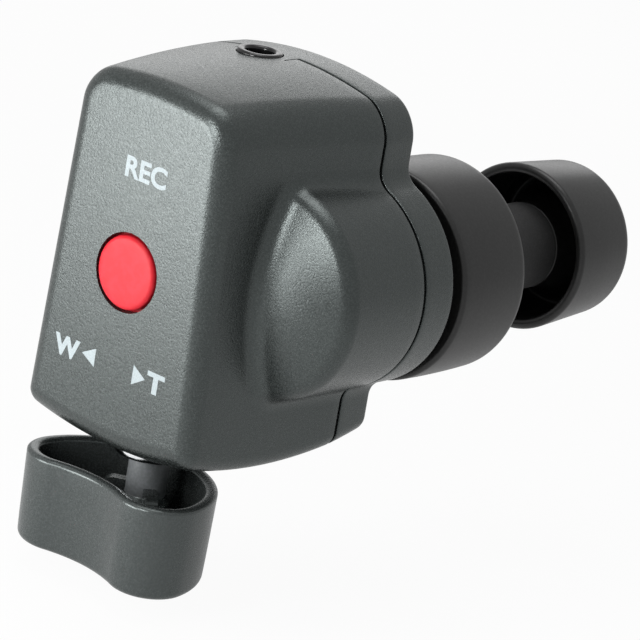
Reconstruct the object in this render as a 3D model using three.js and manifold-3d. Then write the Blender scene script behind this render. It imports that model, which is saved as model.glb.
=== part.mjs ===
// Zoom demand: a zoom and record control that clamps on the pan bar of a tripod head.
// All lengths are in millimetres. X runs to the right across the face, Y runs from the face back along the
// twist grip, and Z is up. The sizes are held in the face frame, whose origin is the centre of the record
// button on the face plane. The exported group then puts the mouth of the pan-bar socket at the origin.

import * as THREE from 'three';
import { mergeVertices } from 'three/addons/utils/BufferGeometryUtils.js';
import Module from 'manifold-3d';

const wasm = await Module();
wasm.setup();

// Fits
const seatGap = 0.3; // between pieces that seat on each other
const movingGap = 0.4; // round pieces that move
const overrun = 1.5; // how far a cut runs past what it cuts
const weldDistance = 0.0001; // points closer than this are one point

// Housing outline
const faceHalfWidth = 17.6; // at the height of the button, just behind the face edge
const partingHalfWidth = 22.2;
const partingDepth = 34; // from the face to the parting line
const rearShellDepth = 7.8; // from the parting line to the rear face
const housingDepth = partingDepth + rearShellDepth;
const crownTop = 33.9; // highest line of the top
const crownDepth = 30; // where the top is highest
const crownFall = 1.5; // how much lower the top is at the face
const topSideFall = 3.4; // how much lower the top is at its sides
const bellyBottom = 32.4; // lowest line of the bottom
const bellyDepth = 19; // where the bottom is lowest
const bellyRise = 2.2; // how much higher the bottom is at the face
const bottomSideFall = 2.9; // how much higher the bottom is at its sides
const faceEdgeRadius = 3.2;
const rearEdgeRadius = 0.9;
const creaseBlend = 4; // width of the soft crease where the barrel meets the side wall
const shellWall = 2;
const faceLeanShare = 0.0435; // loss of half width for each unit of height, at the face
const partingLeanShare = 0.005; // the same at the parting line
const topCornerRadius = 5.5;
const bottomCornerRadius = 3.8;

// Barrel: the round bulge of the housing that carries the twist grip
const gripX = 17.2;
const gripZ = 0;
const barrelShift = 0.15; // barrel centre left of the grip axis
const barrelLift = 0.6; // barrel centre above the grip axis
const barrelRadius = 18.8;
const barrelDraft = 0.3; // how much less the radius is behind the front edge
const barrelFront = 11; // depth at which the barrel's nose starts
const barrelNose = 4.4; // depth of the shallow cone on its front
const barrelEdgeRadius = 3.2;

// Record button
const buttonRadius = 6.5;
const buttonProud = 0.4;
const buttonEdge = 0.5;
const buttonFlange = 1.4; // how far the flange reaches past the cap
const buttonFlangeThick = 1.1;
const buttonStemRadius = 2.5;
const buttonStem = 1.6;
const buttonTravel = 1;
const plungerRadius = 1.5;
const plungerLength = 2.2;
const switchSize = 6.2;
const switchThick = 3.5;

// Circuit board
const boardWidth = 26;
const boardClear = 6.9; // from the crown down to the board
const boardTop = crownTop - boardClear;
const boardBottom = -6;
const boardThick = 1.4;
const boardScrewX = 9.5;
const boardScrewDrop = 6; // from the board's top to its screws
const boardScrewZ = boardTop - boardScrewDrop;
const boardBossRadius = 2.8;

// Jack
const jackX = -4.6;
const jackBeforeParting = 3.6; // from the jack to the parting line
const jackDepth = partingDepth - jackBeforeParting;
const collarRadius = 4.7;
const collarProud = 0.5;
const collarHole = 2.8;
const collarHeight = 3.1;
const tongueHalfWidth = 5.3;
const jackWidth = 8.6;
const jackLength = 12;
const jackBore = 1.8;
const jackBoreDepth = 11;

// Pan-bar socket and clamp
const clampDepth = 13.5; // from the face to the clamp screw
const socketZ = -18.2;
const socketRadius = 8.2;
const sleeveWall = 1.8;
const sleeveMouth = -19;
const sleeveEnd = 13;
const sleeveFloor = 2;
const insertRadius = 4.3;
const insertFlangeRadius = 6.5;
const insertFlangeThick = 1.2;
const sleeveBossRadius = 7;
const sleeveBossRise = 3.5; // from the belly up to the boss
const sleeveBossBottom = -bellyBottom + sleeveBossRise;
const studRadius = 2.4;
const studProud = 0.2; // above the socket's lowest line
const studTop = socketZ - socketRadius + studProud;
const studLength = 20;
const padRadius = 4;
const padThick = 1.5;
const clampTravel = 2; // from tight to open

// Clamp knob
const knobClear = 3.8; // from the belly down to the knob
const knobRim = -bellyBottom - knobClear; // height of its open top edge
const knobHeight = 16.3;
const knobBackRadius = 18.4; // of the round back
const knobBackForward = 9.3; // its centre, in front of the screw
const lobeRadius = 7.6;
const lobeTurn = THREE.MathUtils.degToRad(7.6); // direction of a lobe's centre, behind the back's centre
const dipReach = 13.5; // from the screw to the middle of the dip
const knobTurn = THREE.MathUtils.degToRad(-2); // how far the knob is turned at rest
const knobDraft = 0.4;
const knobWall = 2.2;
const knobEdge = 1.3;
const hubRadius = 3.5;
const hubSocket = 13; // depth of the stud's hole
const gussetReach = 7;
const gussetFoot = 10;
const gussetDrop = 3; // gusset top below the rim
const gussetThick = 2;
const gussetTurn = THREE.MathUtils.degToRad(-36); // from the X axis to the right gusset

// Grip shaft and what it carries inside
const shaftRadius = 2.5;
const bushingRadius = 5;
const bushingFlange = 2;
const bushingFlangeThick = 1.1;
const bushingProud = 0.8;
const clipWidth = 2;
const clipThick = 0.8;
const armHubRadius = 4.7;
const armReach = 10.2;
const armHalfWidth = 2;
const armThick = 3;
const springRadius = 4.2;
const springWire = 0.45;
const springTurns = 3;
const springLeg = 2.6;
const stopReach = 9; // from the shaft to a stop post
const stopRadius = 1.3;
const stopTurn = THREE.MathUtils.degToRad(55); // from the arm to a stop post

// Sensor
const sensorRadius = 8;
const sensorThick = 7;
const sensorFromNose = 6; // from the barrel's front to the sensor
const sensorFront = barrelFront + sensorFromNose;
const sensorNeckRadius = 3.7;
const sensorNeck = 4.5;
const bracketThick = 2;
const bracketReach = 11.5; // from the shaft to a bracket post
const bracketEnd = 3.4;
const bracketPostRadius = 2.4;
const nutRadius = 5.4;
const nutThick = 2;

// Screws
const screwRadius = 1.2;
const screwHeadRadius = 2.5;
const screwHeadThick = 1.8;
const smallScrewRadius = 0.9;
const smallHeadRadius = 1.7;
const smallHeadThick = 1.1;
const smallScrewLength = 6;
const shellScrewLength = 11;
const shellScrewSink = 2.2; // screw head below the rear face
const cornerPostRadius = 3.3;
const cornerPostLength = 9.5;
const cornerPostFront = partingDepth - cornerPostLength;
const cornerBossRadius = 4.1;
const cornerScrewSide = 5.6; // from the widest line in to the screws
const cornerScrewTop = 7.3; // from the crown down to the upper screws
const cornerScrewBottom = 7.7; // from the belly up to the lower screws
const cornerScrewX = partingHalfWidth - cornerScrewSide;
const cornerScrewPlaces = [
  { x: -cornerScrewX, z: crownTop - cornerScrewTop },
  { x: cornerScrewX, z: crownTop - cornerScrewTop },
  { x: -cornerScrewX, z: -bellyBottom + cornerScrewBottom },
  { x: cornerScrewX, z: -bellyBottom + cornerScrewBottom },
];

// Twist ring, neck and end knob
const ringClear = 2.8; // from the rear face to the ring
const ringLength = 17.7;
const ringFront = housingDepth + ringClear;
const ringBack = ringFront + ringLength;
const ringRadius = 18.6;
const ringWaist = 18.8; // widest radius, a little behind the front lip
const ringBackRadius = 18.6;
const ringLip = 0.9;
const ringBackEdge = 1.8;
const ringBossRadius = 8;
const ringRecess = 4;
const ringRecessRadius = 15;
const neckRingRadius = 8.4;
const neckWaistRadius = 7;
const neckKnobRadius = 7.7;
const neckLength = 22.7;
const neckBack = ringBack + neckLength;
const endKnobOverlap = 2; // how far its rim reaches over the neck
const endKnobLength = 16.6;
const endKnobRim = neckBack - endKnobOverlap;
const endKnobBack = endKnobRim + endKnobLength;
const endKnobRimRadius = 15;
const endKnobRadius = 13.9;
const endKnobWall = 1.9;
const endKnobEdge = 2.4;
const endKnobFlare = 11;
const endKnobFlareLength = 8;
const endKnobFloor = 3; // thickness of its closed end
const endKnobCrown = 0.4;
const nutInsertRadius = 4.4;
const nutInsertLength = 6;
const shaftInSensor = 0.7; // how far the sensor's back lies over the shaft's front
const shaftInKnob = 9; // how far the shaft reaches past the neck
const shaftFront = sensorFront + sensorThick + shaftInSensor;
const shaftBack = neckBack + shaftInKnob;

// Facets
const smallFacets = 12;
const midFacets = 20;
const gripFacets = 42;
const nutFlats = 6;
const lobeFacets = 8;
const backFacets = 18;
const dipFacets = 8;

// Mesh of the housing's loft
const faceCentre = 3; // centre line of the loft at the face
const barrelCentre = 11; // the same from the barrel's nose back
const farReach = 60; // longer than any ray inside the housing
const bendWeight = 5; // length that one radian of bend counts for
const rayHalvings = 30;
const raysForSide = 160;
const sidePoints = [26, 11, 8, 11]; // right side, top, left side, bottom
const edgeSteps = 5;
const sideSteps = 2;
const noseShares = [-0.45, -0.15, 0, 0.12, 0.24, 0.36, 0.48, 0.6, 0.7, 0.8, 0.9, 1.05];

const charcoal = { color: 0x2e3133, roughness: 0.55, metalness: 0.0 };
const satinBlack = { color: 0x1d1f20, roughness: 0.35, metalness: 0.0 };
const softBlack = { color: 0x232526, roughness: 0.7, metalness: 0.0 };
const recordRed = { color: 0xc8202c, roughness: 0.4, metalness: 0.0 };
const chrome = { color: 0xd5d7d8, roughness: 0.12, metalness: 1.0 };
const steel = { color: 0x9a9da0, roughness: 0.35, metalness: 1.0 };
const brass = { color: 0xb8923a, roughness: 0.35, metalness: 1.0 };
const boardGreen = { color: 0x1f5a3a, roughness: 0.5, metalness: 0.0 };
const nylon = { color: 0xd9d6cc, roughness: 0.6, metalness: 0.0 };
const mouldedBlack = { color: 0x18191a, roughness: 0.5, metalness: 0.0 };

// Geometry helpers

// An indexed copy with shared points merged, no flat triangles and its faces pointing out.
function welded(geometry) {
  const bare = geometry.clone();
  bare.deleteAttribute('normal');
  bare.deleteAttribute('uv');
  const merged = mergeVertices(bare, weldDistance);
  const places = merged.attributes.position;
  const old = merged.index.array;
  const kept = [];
  let volume = 0;
  const a = new THREE.Vector3();
  const b = new THREE.Vector3();
  const c = new THREE.Vector3();
  for (let i = 0; i < old.length; i += 3) {
    const [p, q, r] = [old[i], old[i + 1], old[i + 2]];
    if (p === q || q === r || r === p) continue;
    kept.push(p, q, r);
    a.fromBufferAttribute(places, p);
    b.fromBufferAttribute(places, q);
    c.fromBufferAttribute(places, r);
    volume += a.dot(b.cross(c));
  }
  if (volume < 0) {
    for (let i = 0; i < kept.length; i += 3) {
      [kept[i], kept[i + 1]] = [kept[i + 1], kept[i]];
    }
  }
  merged.setIndex(kept);
  return merged;
}

// A solid for joining and cutting.
function solid(geometry) {
  const closed = welded(geometry);
  return new wasm.Manifold(new wasm.Mesh({
    numProp: 3,
    vertProperties: new Float32Array(closed.attributes.position.array),
    triVerts: new Uint32Array(closed.index.array),
  }));
}

// A named mesh of a solid, with its own material.
function piece(name, body, look) {
  const data = body.getMesh();
  const geometry = new THREE.BufferGeometry();
  geometry.setAttribute('position', new THREE.BufferAttribute(new Float32Array(data.vertProperties), 3));
  geometry.setIndex(Array.from(data.triVerts));
  geometry.computeVertexNormals();
  const mesh = new THREE.Mesh(geometry, new THREE.MeshStandardMaterial(look));
  mesh.name = name;
  return mesh;
}

// A closed loft through rings of equal point counts, with a fan on each end.
function loft(rings) {
  const count = rings[0].length;
  const points = [];
  const faces = [];
  for (const ring of rings) {
    for (const point of ring) points.push(...point);
  }
  for (let k = 0; k + 1 < rings.length; k += 1) {
    for (let i = 0; i < count; i += 1) {
      const j = (i + 1) % count;
      const low = k * count;
      const high = low + count;
      faces.push(low + i, low + j, high + j);
      faces.push(low + i, high + j, high + i);
    }
  }
  const ends = [0, rings.length - 1];
  for (const k of ends) {
    const middle = [0, 0, 0];
    for (const point of rings[k]) {
      for (let axis = 0; axis < 3; axis += 1) middle[axis] += point[axis] / count;
    }
    const centre = points.length / 3;
    points.push(...middle);
    for (let i = 0; i < count; i += 1) {
      const j = (i + 1) % count;
      const low = k * count;
      if (k === 0) faces.push(centre, low + j, low + i);
      else faces.push(centre, low + i, low + j);
    }
  }
  const geometry = new THREE.BufferGeometry();
  geometry.setAttribute('position', new THREE.BufferAttribute(new Float32Array(points), 3));
  geometry.setIndex(faces);
  return solid(geometry);
}

function revolved(profile, facets) {
  return new THREE.LatheGeometry(profile.map(([radius, along]) => new THREE.Vector2(radius, along)), facets);
}

// A revolve about a line along Y, from a closed profile of radius and depth.
function turnedAlongY(profile, x, z, facets) {
  return solid(revolved(profile, facets).translate(x, 0, z));
}

// A revolve about a line along Z, from a closed profile of radius and height.
function turnedAlongZ(profile, x, y, facets) {
  return solid(revolved(profile, facets).rotateX(Math.PI / 2).translate(x, y, 0));
}

// A revolve about a line along X, from a closed profile of radius and place.
function turnedAlongX(profile, y, z, facets) {
  return solid(revolved(profile, facets).rotateZ(-Math.PI / 2).translate(0, y, z));
}

function rod(radius, from, to) {
  return [[0, from], [radius, from], [radius, to], [0, to]];
}

function tube(inner, outer, from, to) {
  return [[inner, from], [outer, from], [outer, to], [inner, to], [inner, from]];
}

// A prism along Y of an outline drawn in X and Z.
function prismAlongY(shape, from, to) {
  const body = new THREE.ExtrudeGeometry(shape, { depth: to - from, bevelEnabled: false, curveSegments: 6 });
  return solid(body.rotateX(Math.PI / 2).translate(0, to, 0));
}

// A prism along Z of an outline drawn in X and Y.
function prismAlongZ(shape, from, to) {
  const body = new THREE.ExtrudeGeometry(shape, { depth: to - from, bevelEnabled: false, curveSegments: 8 });
  return solid(body.translate(0, 0, from));
}

function slab(x0, x1, y0, y1, z0, z1) {
  const box = new THREE.BoxGeometry(x1 - x0, y1 - y0, z1 - z0);
  return solid(box.translate((x0 + x1) / 2, (y0 + y1) / 2, (z0 + z1) / 2));
}

// Housing surface

// Distance outside two crossing faces whose edge is rounded. It is negative inside.
function roundedCorner(first, second, radius) {
  const a = first + radius;
  const b = second + radius;
  return Math.min(Math.max(a, b), 0) + Math.hypot(Math.max(a, 0), Math.max(b, 0)) - radius;
}

function flareAt(depth) {
  return Math.min(Math.max(depth / partingDepth, 0), 1);
}

function halfWidthAt(depth) {
  return faceHalfWidth + (partingHalfWidth - faceHalfWidth) * flareAt(depth);
}

function topAt(depth) {
  return crownTop - crownFall * ((depth - crownDepth) / crownDepth) ** 2;
}

function bottomAt(depth) {
  return bellyBottom - bellyRise * ((depth - bellyDepth) / bellyDepth) ** 2;
}

// Distance outside the plain box: leaning sides, a domed top, a bellied bottom and a rounded face edge.
function boxDistance(x, depth, z) {
  const lean = faceLeanShare + (partingLeanShare - faceLeanShare) * flareAt(depth);
  const side = Math.abs(x) + lean * z - halfWidthAt(depth);
  const share = (x / partingHalfWidth) ** 2;
  const end = z > 0
    ? roundedCorner(side, z - topAt(depth) + topSideFall * share, topCornerRadius)
    : roundedCorner(side, -z - bottomAt(depth) + bottomSideFall * share, bottomCornerRadius);
  return roundedCorner(end, -depth, faceEdgeRadius);
}

// Distance outside the barrel: a shallow cone in front, a rounded edge and a drafted side.
function barrelDistance(x, depth, z) {
  const off = Math.hypot(x - gripX + barrelShift, z - gripZ - barrelLift);
  const along = (depth - barrelFront) / (housingDepth - barrelFront);
  const side = off - barrelRadius + barrelDraft * (1 - along);
  const slope = barrelNose / barrelRadius;
  const front = (barrelFront + slope * off - depth) / Math.hypot(1, slope);
  return roundedCorner(side, front, barrelEdgeRadius);
}

// Distance outside the housing: the box and the barrel, joined by a soft crease.
function housingDistance(x, depth, z) {
  const box = boxDistance(x, depth, z);
  const barrel = barrelDistance(x, depth, z);
  const blend = Math.max(creaseBlend - Math.abs(box - barrel), 0);
  return Math.min(box, barrel) - blend ** 2 / (4 * creaseBlend);
}

// The loft's centre line moves toward the barrel, so that its rays cross the surface squarely.
function loftCentre(depth) {
  return faceCentre + (barrelCentre - faceCentre) * Math.min(depth / barrelFront, 1);
}

// The point of the surface on one ray, found by halving.
function surfacePoint(angle, depth, inset) {
  const centre = loftCentre(depth);
  let near = 0;
  let far = farReach;
  for (let k = 0; k < rayHalvings; k += 1) {
    const middle = (near + far) / 2;
    const x = centre + middle * Math.cos(angle);
    if (housingDistance(x, depth, middle * Math.sin(angle)) + inset > weldDistance) far = middle;
    else near = middle;
  }
  return new THREE.Vector2(centre + near * Math.cos(angle), near * Math.sin(angle));
}

// Directions from the centre line to the box's four corners, from the lower right one round and back to it.
function cornerAngles(depth) {
  const centre = loftCentre(depth);
  const right = halfWidthAt(depth) - centre;
  const left = -halfWidthAt(depth) - centre;
  const start = Math.atan2(-bottomAt(depth), right);
  return [
    start,
    Math.atan2(topAt(depth), right),
    Math.atan2(topAt(depth), left),
    Math.atan2(-bottomAt(depth), left) + 2 * Math.PI,
    start + 2 * Math.PI,
  ];
}

// One ring of the housing at a depth. Each side has its own count of points, closer where the surface bends.
function housingRing(depth, inset) {
  const corners = cornerAngles(depth);
  const ring = [];
  sidePoints.forEach((count, side) => {
    const span = corners[side + 1] - corners[side];
    const fine = [];
    for (let k = 0; k <= raysForSide + 1; k += 1) {
      fine.push(surfacePoint(corners[side] + span * k / raysForSide, depth, inset));
    }
    const spent = [0];
    for (let k = 0; k < raysForSide; k += 1) {
      const here = fine[k + 1].clone().sub(fine[k]);
      const next = fine[k + 2].clone().sub(fine[k + 1]);
      const bend = Math.abs(Math.atan2(here.cross(next), here.dot(next)));
      spent.push(spent[k] + here.length() + bendWeight * bend);
    }
    let k = 0;
    for (let i = 0; i < count; i += 1) {
      const wanted = spent[raysForSide] * i / count;
      while (spent[k + 1] < wanted) k += 1;
      const share = (wanted - spent[k]) / (spent[k + 1] - spent[k]);
      const point = fine[k].clone().lerp(fine[k + 1], share);
      ring.push([point.x, depth, point.y]);
    }
  });
  return ring;
}

// Depths of the rings behind the face edge, close together over the barrel's nose.
function noseDepths() {
  const nose = barrelNose + barrelEdgeRadius;
  return noseShares.map((share) => barrelFront + nose * share);
}

// The housing's outer form from the face to a depth, with a rounded face edge.
function outerForm(backDepth) {
  const rings = [];
  for (let k = 0; k <= edgeSteps; k += 1) {
    rings.push(housingRing(faceEdgeRadius * (1 - Math.cos(Math.PI / 2 * k / edgeSteps)), 0));
  }
  const depths = noseDepths();
  for (const depth of depths) rings.push(housingRing(depth, 0));
  const last = depths[depths.length - 1];
  for (let k = 1; k <= sideSteps; k += 1) {
    rings.push(housingRing(last + (backDepth - last) * k / sideSteps, 0));
  }
  return loft(rings);
}

// The hollow inside the shells, one wall smaller all round.
function innerForm(backDepth) {
  const rings = [housingRing(shellWall, shellWall)];
  const bend = faceEdgeRadius - shellWall;
  rings.push(housingRing(shellWall + bend / 4, shellWall));
  rings.push(housingRing(faceEdgeRadius, shellWall));
  noseDepths().forEach((depth, n) => {
    if (n % 2 === 0) rings.push(housingRing(depth + shellWall, shellWall));
  });
  rings.push(housingRing(backDepth, shellWall));
  return loft(rings);
}

// Housing shells

function cornerPosts() {
  const back = partingDepth;
  const posts = cornerScrewPlaces.map(({ x, z }) => {
    const profile = rod(cornerPostRadius, cornerPostFront, back);
    return turnedAlongY(profile, x, z, smallFacets);
  });
  return posts.reduce((all, post) => all.add(post));
}

function cornerScrewHoles(radius, from, to) {
  const holes = cornerScrewPlaces.map(({ x, z }) => turnedAlongY(rod(radius, from, to), x, z, smallFacets));
  return holes.reduce((all, hole) => all.add(hole));
}

function boardPlaces() {
  return [-boardScrewX, boardScrewX];
}

function boardFront() {
  return switchBack() + seatGap;
}

function switchFront() {
  return shellWall + seatGap + buttonFlangeThick + buttonStem + buttonTravel + 2 * seatGap;
}

function switchBack() {
  return switchFront() + switchThick;
}

function boardBosses() {
  const profile = rod(boardBossRadius, shellWall / 2, boardFront() - seatGap);
  const bosses = boardPlaces().map((x) => turnedAlongY(profile, x, boardScrewZ, smallFacets));
  return bosses.reduce((all, boss) => all.add(boss));
}

function boardScrewHoles(radius, from, to) {
  const holes = boardPlaces().map((x) => turnedAlongY(rod(radius, from, to), x, boardScrewZ, smallFacets));
  return holes.reduce((all, hole) => all.add(hole));
}

// The U-shaped notch for the jack: a half round at the collar, then straight sides to the parting line.
function jackNotch(halfWidth, round, back) {
  const shape = new THREE.Shape();
  shape.moveTo(jackX - halfWidth, back);
  shape.lineTo(jackX - halfWidth, jackDepth);
  shape.lineTo(jackX + halfWidth, jackDepth);
  shape.lineTo(jackX + halfWidth, back);
  const straight = prismAlongZ(shape, jackTop() - collarHeight, crownTop + overrun);
  if (!round) return straight;
  const hole = rod(collarRadius + seatGap, jackTop() - collarHeight, crownTop + overrun);
  return straight.add(turnedAlongZ(hole, jackX, jackDepth, midFacets));
}

// Height of the housing's outer surface at the jack.
function surfaceAtJack() {
  return topAt(jackDepth) - topSideFall * (jackX / partingHalfWidth) ** 2;
}

// Height of the jack body's top, just under the collar.
function jackTop() {
  return surfaceAtJack() + collarProud - collarHeight - seatGap;
}

function frontShell() {
  const back = partingDepth - seatGap / 2;
  const outer = outerForm(partingDepth);
  const hollow = innerForm(partingDepth + overrun);
  const mouthSide = -partingHalfWidth - overrun;
  const sleeveHole = rod(socketRadius + sleeveWall + seatGap, mouthSide, sleeveMouth / 2);
  const bellyInside = -bellyBottom + shellWall + overrun;
  const insertHole = rod(insertRadius + seatGap, -bellyBottom - overrun, bellyInside);
  const buttonHole = rod(buttonRadius + movingGap, -overrun, shellWall + overrun);
  const screwDepth = screwTip() - seatGap;
  return outer
    .subtract(hollow)
    .add(cornerPosts().intersect(outer))
    .add(boardBosses())
    .subtract(turnedAlongY(buttonHole, 0, 0, midFacets))
    .subtract(turnedAlongX(sleeveHole, clampDepth, socketZ, midFacets))
    .subtract(turnedAlongZ(insertHole, 0, clampDepth, midFacets))
    .subtract(cornerScrewHoles(screwRadius + seatGap, screwDepth, partingDepth + overrun))
    .subtract(boardScrewHoles(smallScrewRadius + seatGap, boardScrewTip() - seatGap, boardFront()))
    .subtract(jackNotch(tongueHalfWidth + seatGap, true, partingDepth + overrun))
    .subtract(slab(-crownTop * 2, crownTop * 2, back, back + crownTop, -crownTop * 2, crownTop * 2));
}

function screwSeat() {
  return housingDepth - shellScrewSink - screwHeadThick;
}

function screwTip() {
  return screwSeat() - shellScrewLength;
}

function rearShell() {
  const front = partingDepth + seatGap / 2;
  const inside = housingDepth - shellWall;
  const body = loft([
    housingRing(front, 0),
    housingRing(housingDepth - rearEdgeRadius, 0),
    housingRing(housingDepth - rearEdgeRadius * 0.3, rearEdgeRadius * 0.3),
    housingRing(housingDepth, rearEdgeRadius),
  ]);
  const hollow = loft([housingRing(front - overrun, shellWall), housingRing(inside, shellWall)]);
  const band = loft([housingRing(jackDepth - overrun, 0), housingRing(front + shellWall, 0)])
    .subtract(loft([housingRing(jackDepth - 2 * overrun, shellWall), housingRing(inside, shellWall)]));
  const tongue = band.intersect(jackNotch(tongueHalfWidth, false, front + shellWall));
  const collarHoleCut = rod(collarRadius + seatGap, jackTop() - collarHeight, crownTop + overrun);
  const bushingHole = rod(bushingRadius + seatGap, inside - overrun, housingDepth + overrun);
  const bosses = cornerScrewPlaces
    .map(({ x, z }) => turnedAlongY(rod(cornerBossRadius, front, inside + overrun / 2), x, z, smallFacets))
    .reduce((all, boss) => all.add(boss))
    .intersect(body);
  return body
    .subtract(hollow)
    .add(tongue)
    .add(bosses)
    .add(bracketPosts())
    .add(stopPosts())
    .subtract(turnedAlongZ(collarHoleCut, jackX, jackDepth, midFacets))
    .subtract(turnedAlongY(bushingHole, gripX, gripZ, midFacets))
    .subtract(cornerScrewHoles(screwRadius + seatGap, front - overrun, housingDepth + overrun))
    .subtract(cornerScrewHoles(screwHeadRadius + seatGap, screwSeat() - seatGap, housingDepth + overrun));
}

function bracketBack() {
  return sensorFront + sensorThick + seatGap + bracketThick;
}

function bracketPlaces() {
  return [gripX - bracketReach, gripX + bracketReach];
}

// Posts on the inside of the rear shell that carry the sensor bracket.
function bracketPosts() {
  const from = bracketBack() + seatGap;
  const to = housingDepth - shellWall / 2;
  const hole = rod(smallScrewRadius + seatGap, from - overrun, from + smallScrewLength);
  return bracketPlaces()
    .map((x) => turnedAlongY(rod(bracketPostRadius, from, to), x, gripZ, smallFacets)
      .subtract(turnedAlongY(hole, x, gripZ, smallFacets)))
    .reduce((all, post) => all.add(post));
}

// Two posts that stop the centring arm at the ends of the twist.
function stopPosts() {
  return [-stopTurn, stopTurn]
    .map((turn) => {
      const x = gripX + stopReach * Math.sin(turn);
      const z = gripZ + stopReach * Math.cos(turn);
      return turnedAlongY(rod(stopRadius, armFront(), housingDepth - shellWall / 2), x, z, smallFacets);
    })
    .reduce((all, post) => all.add(post));
}

function shellScrew(place) {
  const seat = screwSeat();
  const profile = [
    [0, screwTip()],
    [screwRadius, screwTip() + screwRadius],
    [screwRadius, seat],
    [screwHeadRadius, seat],
    [screwHeadRadius, seat + screwHeadThick / 2],
    [screwHeadRadius * 0.7, seat + screwHeadThick],
    [0, seat + screwHeadThick],
  ];
  return turnedAlongY(profile, place.x, place.z, smallFacets);
}

// A small screw whose head is toward the back or the front.
function smallScrew(x, z, seat, facing) {
  const profile = [
    [0, seat - facing * smallScrewLength],
    [smallScrewRadius, seat - facing * smallScrewLength],
    [smallScrewRadius, seat],
    [smallHeadRadius, seat],
    [smallHeadRadius, seat + facing * smallHeadThick],
    [0, seat + facing * smallHeadThick],
  ];
  return turnedAlongY(profile, x, z, smallFacets);
}

// Record button, its plunger and its switch

function flangeFront() {
  return shellWall + seatGap;
}

function recButton() {
  const flangeBack = flangeFront() + buttonFlangeThick;
  const profile = [
    [0, -buttonProud],
    [buttonRadius - buttonEdge, -buttonProud],
    [buttonRadius - buttonEdge * 0.3, -buttonProud + buttonEdge * 0.3],
    [buttonRadius, -buttonProud + buttonEdge],
    [buttonRadius, flangeFront()],
    [buttonRadius + buttonFlange, flangeFront()],
    [buttonRadius + buttonFlange, flangeBack],
    [buttonStemRadius, flangeBack],
    [buttonStemRadius, flangeBack + buttonStem],
    [0, flangeBack + buttonStem],
  ];
  return turnedAlongY(profile, 0, 0, midFacets);
}

function recPlunger() {
  const from = flangeFront() + buttonFlangeThick + buttonStem + seatGap;
  return turnedAlongY(rod(plungerRadius, from, from + plungerLength), 0, 0, smallFacets);
}

function recSwitch() {
  const half = switchSize / 2;
  const tip = flangeFront() + buttonFlangeThick + buttonStem + seatGap + plungerLength;
  const hole = rod(plungerRadius + movingGap, switchFront() - overrun, tip + buttonTravel + seatGap);
  return slab(-half, half, switchFront(), switchBack(), -half, half)
    .subtract(turnedAlongY(hole, 0, 0, smallFacets));
}

function mainBoard() {
  const half = boardWidth / 2;
  const back = boardFront() + boardThick;
  return slab(-half, half, boardFront(), back, boardBottom, boardTop)
    .subtract(boardScrewHoles(smallScrewRadius + seatGap, boardFront() - overrun, back + overrun));
}

function boardScrewSeat() {
  return boardFront() + boardThick + seatGap;
}

function boardScrewTip() {
  return boardScrewSeat() - smallScrewLength;
}

// Jack

function jackCollar() {
  const top = surfaceAtJack() + collarProud;
  const edge = collarProud * 0.6;
  const profile = [
    [collarHole, top - collarHeight],
    [collarRadius, top - collarHeight],
    [collarRadius, top - edge],
    [collarRadius - edge, top],
    [collarHole + edge, top],
    [collarHole, top - edge],
    [collarHole, top - collarHeight],
  ];
  return turnedAlongZ(profile, jackX, jackDepth, midFacets);
}

function jackBody() {
  const half = jackWidth / 2;
  const top = jackTop();
  const bore = rod(jackBore, top - jackBoreDepth, top + overrun);
  return slab(jackX - half, jackX + half, jackDepth - half, jackDepth + half, top - jackLength, top)
    .subtract(turnedAlongZ(bore, jackX, jackDepth, smallFacets));
}

// Pan-bar sleeve and clamp screw

function clampSleeve() {
  const outer = socketRadius + sleeveWall;
  const edge = sleeveWall / 3;
  const profile = [
    [0, sleeveEnd],
    [outer, sleeveEnd],
    [outer, sleeveMouth],
    [socketRadius + edge, sleeveMouth],
    [socketRadius, sleeveMouth + edge],
    [socketRadius, sleeveEnd - sleeveFloor],
    [0, sleeveEnd - sleeveFloor],
  ];
  const bore = rod(socketRadius, sleeveMouth + overrun, sleeveEnd - sleeveFloor);
  const boss = turnedAlongZ(rod(sleeveBossRadius, sleeveBossBottom, socketZ), 0, clampDepth, midFacets)
    .subtract(turnedAlongX(bore, clampDepth, socketZ, midFacets));
  const well = rod(insertRadius + seatGap, sleeveBossBottom - overrun, socketZ);
  return turnedAlongX(profile, clampDepth, socketZ, midFacets)
    .add(boss)
    .subtract(turnedAlongZ(well, 0, clampDepth, midFacets));
}

// Height of the insert's flange, just under the lowest line of the housing.
function flangeTop() {
  return -bellyBottom - seatGap / 2;
}

function clampInsert() {
  const top = studTop + seatGap - clampTravel - movingGap;
  const bottom = flangeTop() - insertFlangeThick;
  const edge = insertFlangeThick / 3;
  const bore = studRadius + seatGap;
  const profile = [
    [bore, bottom],
    [insertFlangeRadius - edge, bottom],
    [insertFlangeRadius, bottom + edge],
    [insertFlangeRadius, flangeTop()],
    [insertRadius, flangeTop()],
    [insertRadius, top],
    [bore, top],
    [bore, bottom],
  ];
  return turnedAlongZ(profile, 0, clampDepth, midFacets);
}

function clampStud() {
  const bottom = studTop - studLength;
  const profile = [
    [0, bottom],
    [studRadius, bottom],
    [studRadius, studTop - studRadius / 3],
    [studRadius * 0.7, studTop],
    [0, studTop],
  ];
  return turnedAlongZ(profile, 0, clampDepth, smallFacets);
}

function clampPad() {
  const from = studTop + seatGap;
  return turnedAlongZ(rod(padRadius, from, from + padThick), 0, clampDepth, midFacets);
}

// An arc about a centre, without its last point.
function arcPoints(centre, radius, from, to, steps) {
  const points = [];
  for (let k = 0; k < steps; k += 1) {
    const angle = from + (to - from) * k / steps;
    points.push([centre.x + radius * Math.cos(angle), centre.y + radius * Math.sin(angle)]);
  }
  return points;
}

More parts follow.
